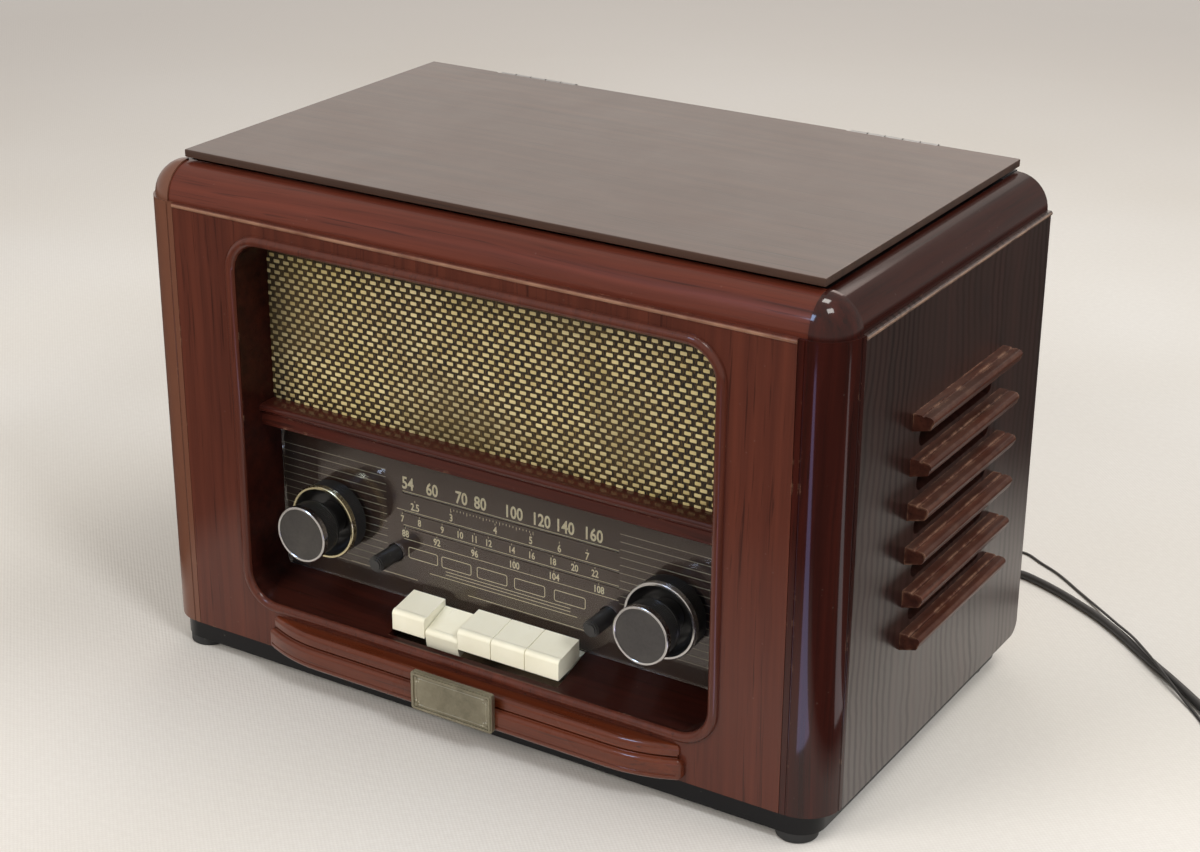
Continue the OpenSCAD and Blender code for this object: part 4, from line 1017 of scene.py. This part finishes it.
def studio_floor():
    """Pale floor with the fine texture of cloth, painted darker away from the radio as painted shade. To
    gloss it is painted nearly black outside a patch round the radio: a painted reflection.
    """
    material, s, shader = new_material("studio_floor")
    axes = s.axes(s.scaled(s.place(), (2400.0, 2400.0, 0.0)))
    dots = s.times(s.math("SINE", axes[0]), s.math("SINE", axes[1]))
    fine = s.plus(s.times(dots, 0.35), s.noise(s.place(), 260.0, 3.0))
    broad = s.between(s.noise(s.place(), 2.2), 0.3, 0.7)
    body = s.mix(broad, (0.73, 0.69, 0.625), (0.80, 0.775, 0.735))
    body = s.mix(s.between(fine, 0.3, 0.9, 0.16, 0.0), body, (0.50, 0.45, 0.40))
    away = s.vector("LENGTH", s.place(), output="Value")
    # Painted shade: the floor is painted darker from 0.7 m away from the radio.
    body = s.mix(s.between(away, 0.7, 1.6), body, (0.60, 0.56, 0.52))
    # Painted reflection: glossy rays see the floor almost black outside a patch round the radio, so the
    # cabinet's gloss is dark above and bright only near its foot.
    glossy = s.node("ShaderNodeLightPath").outputs["Is Glossy Ray"]
    spot = s.axes(s.place())
    behind = s.times(s.larger(spot[1], 0.0), 0.25)
    beside = s.between(s.minus(s.math("ABSOLUTE", spot[0]), behind), 0.25, 0.29)
    beyond = s.larger(s.between(spot[1], -0.22, -0.42), s.between(spot[1], 0.22, 0.36))
    painted_reflection_shade = s.times(s.times(s.larger(beside, beyond), 0.96), glossy)
    body = s.mix(painted_reflection_shade, body, (0.02, 0.018, 0.017))
    finish(s, shader, base_color=body, roughness=0.9, specular_ior_level=0.1,
           normal=s.bump(fine, 0.25, 0.0004), alpha=s.between(away, 1.3, 2.4, 1.0, 0.0))
    mesh = bpy.data.meshes.new("studio_floor")
    corners = [(x * FLOOR_HALF, y * FLOOR_HALF, 0) for x, y in ((-1, -1), (1, -1), (1, 1), (-1, 1))]
    mesh.from_pydata(corners, [], [(0, 1, 2, 3)])
    mesh.materials.append(material)
    floor = new_object("studio_floor", mesh)
    floor.location.z = -0.1 * MM


def softbox(name, place, target, size, power, colour):
    """An area lamp that the camera doesn't see."""
    lamp = bpy.data.lights.new(name, "AREA")
    lamp.shape = "RECTANGLE"
    lamp.size, lamp.size_y = size
    lamp.energy = power
    lamp.color = colour
    box = new_object(name, lamp)
    box.location = place
    box.rotation_euler = (Vector(target) - Vector(place)).to_track_quat("-Z", "Y").to_euler()
    box.visible_camera = False
    box.visible_transmission = False
    return box


def studio_light():
    """Four plain lamps that gloss doesn't mirror, and seven that only gloss shows, as its highlights."""
    world = bpy.data.worlds.new("studio_sky")
    bpy.context.scene.world = world
    world.use_nodes = True
    s = Sheet(world.node_tree)
    path = s.node("ShaderNodeLightPath").outputs
    seen = s.larger(path["Is Camera Ray"], path["Is Transmission Ray"])
    seen = s.larger(seen, path["Is Glossy Ray"])
    sky = world.node_tree.nodes["Background"].inputs
    s.put(sky["Color"], s.mix(seen, (0.40, 0.39, 0.38), (0.62, 0.58, 0.54)))
    middle = (0, 0, 0.12)
    for lamp in (
            ("overhead_softbox", (0.9, 0.5, 1.8), middle, (1.3, 1.1), 17.5, (1.0, 0.98, 0.95)),
            ("front_softbox", (-1.0, -1.9, 1.2), middle, (1.2, 1.0), 28, (1.0, 0.96, 0.92)),
            ("right_softbox", (1.7, -0.8, 1.7), (0.6, -0.2, 0), (0.5, 0.5), 21.5, (0.95, 0.97, 1.0)),
            ("rear_softbox", (-0.9, 1.9, 1.5), middle, (1.2, 1.0), 8, (1.0, 0.96, 0.92))):
        softbox(*lamp).visible_glossy = False
    for lamp in (
            ("back_softbox", (-1.3, 2.3, 1.3), (0, 0, 0.25), (3.0, 1.6), 7, (1.0, 0.90, 0.82)),
            ("window_pane", (-0.3, -1.2, 1.2), middle, (0.3, 0.4), 5, (0.45, 0.64, 1.0)),
            ("ceiling_lamp_0", (0.0, 0.1, 2.0), middle, (0.5, 0.4), 8, (1.0, 0.97, 0.92)),
            ("ceiling_lamp_1", (0.7, -0.6, 1.9), middle, (0.5, 0.4), 8, (1.0, 0.98, 0.95)),
            ("rear_window", (-0.2, 2.0, 1.8), middle, (0.9, 0.5), 5, (1.0, 0.86, 0.78)),
            ("left_streak", (0.215, -0.46, 0.002), (0.215, -0.46, 1), (0.06, 0.52), 0.24, (0.50, 0.52, 1.0)),
            ("right_streak", (0.56, -0.06, 0.002), (0.56, -0.06, 1), (0.52, 0.05), 0.12, (0.95, 0.92, 0.95))):
        softbox(*lamp).visible_diffuse = False


CAMERA_ANGLES = (31.906, 23.06, 0.32)
CAMERA_PLACE = (0.5961, -0.95255, 0.6075)
LENS, SENSOR_WIDTH = 69.66, 36


def photo_camera():
    """Camera at the photograph's viewing angle. Its angles are azimuth, elevation and roll."""
    azimuth, elevation, roll = (math.radians(a) for a in CAMERA_ANGLES)
    forward = Vector((-math.sin(azimuth) * math.cos(elevation), math.cos(azimuth) * math.cos(elevation),
                      -math.sin(elevation)))
    level = Vector((math.cos(azimuth), math.sin(azimuth), 0))
    upright = level.cross(forward)
    right = level * math.cos(roll) + upright * math.sin(roll)
    up = right.cross(forward)
    data = bpy.data.cameras.new("photo_camera")
    data.sensor_fit = "HORIZONTAL"
    data.sensor_width = SENSOR_WIDTH
    data.lens = LENS
    camera = new_object("photo_camera", data)
    turn = Matrix((right, up, -forward)).transposed().to_4x4()
    camera.matrix_world = Matrix.Translation(CAMERA_PLACE) @ turn
    bpy.context.scene.camera = camera


photo_camera()
mains_lead()
aerial_lead()
dress_nodes()
soften_nodes()
speaker_cloth()
scale_numbers()
scale_lines()
empty_boxes()
side_stripes()
for side, knob, ring, metal in ((-1, "volume_knob", "tone_ring", warm_chrome),
                                (1, "tuning_knob", "selector_ring", chrome)):
    front_knob(knob + "_grip", side * knob_x, knob)
    outer_ring(ring + "_bowl", side * knob_x, ring, metal)
apron_ends()
nameplate_relief()
studio_floor()
studio_light()
bpy.context.scene.view_settings.view_transform = "Standard"
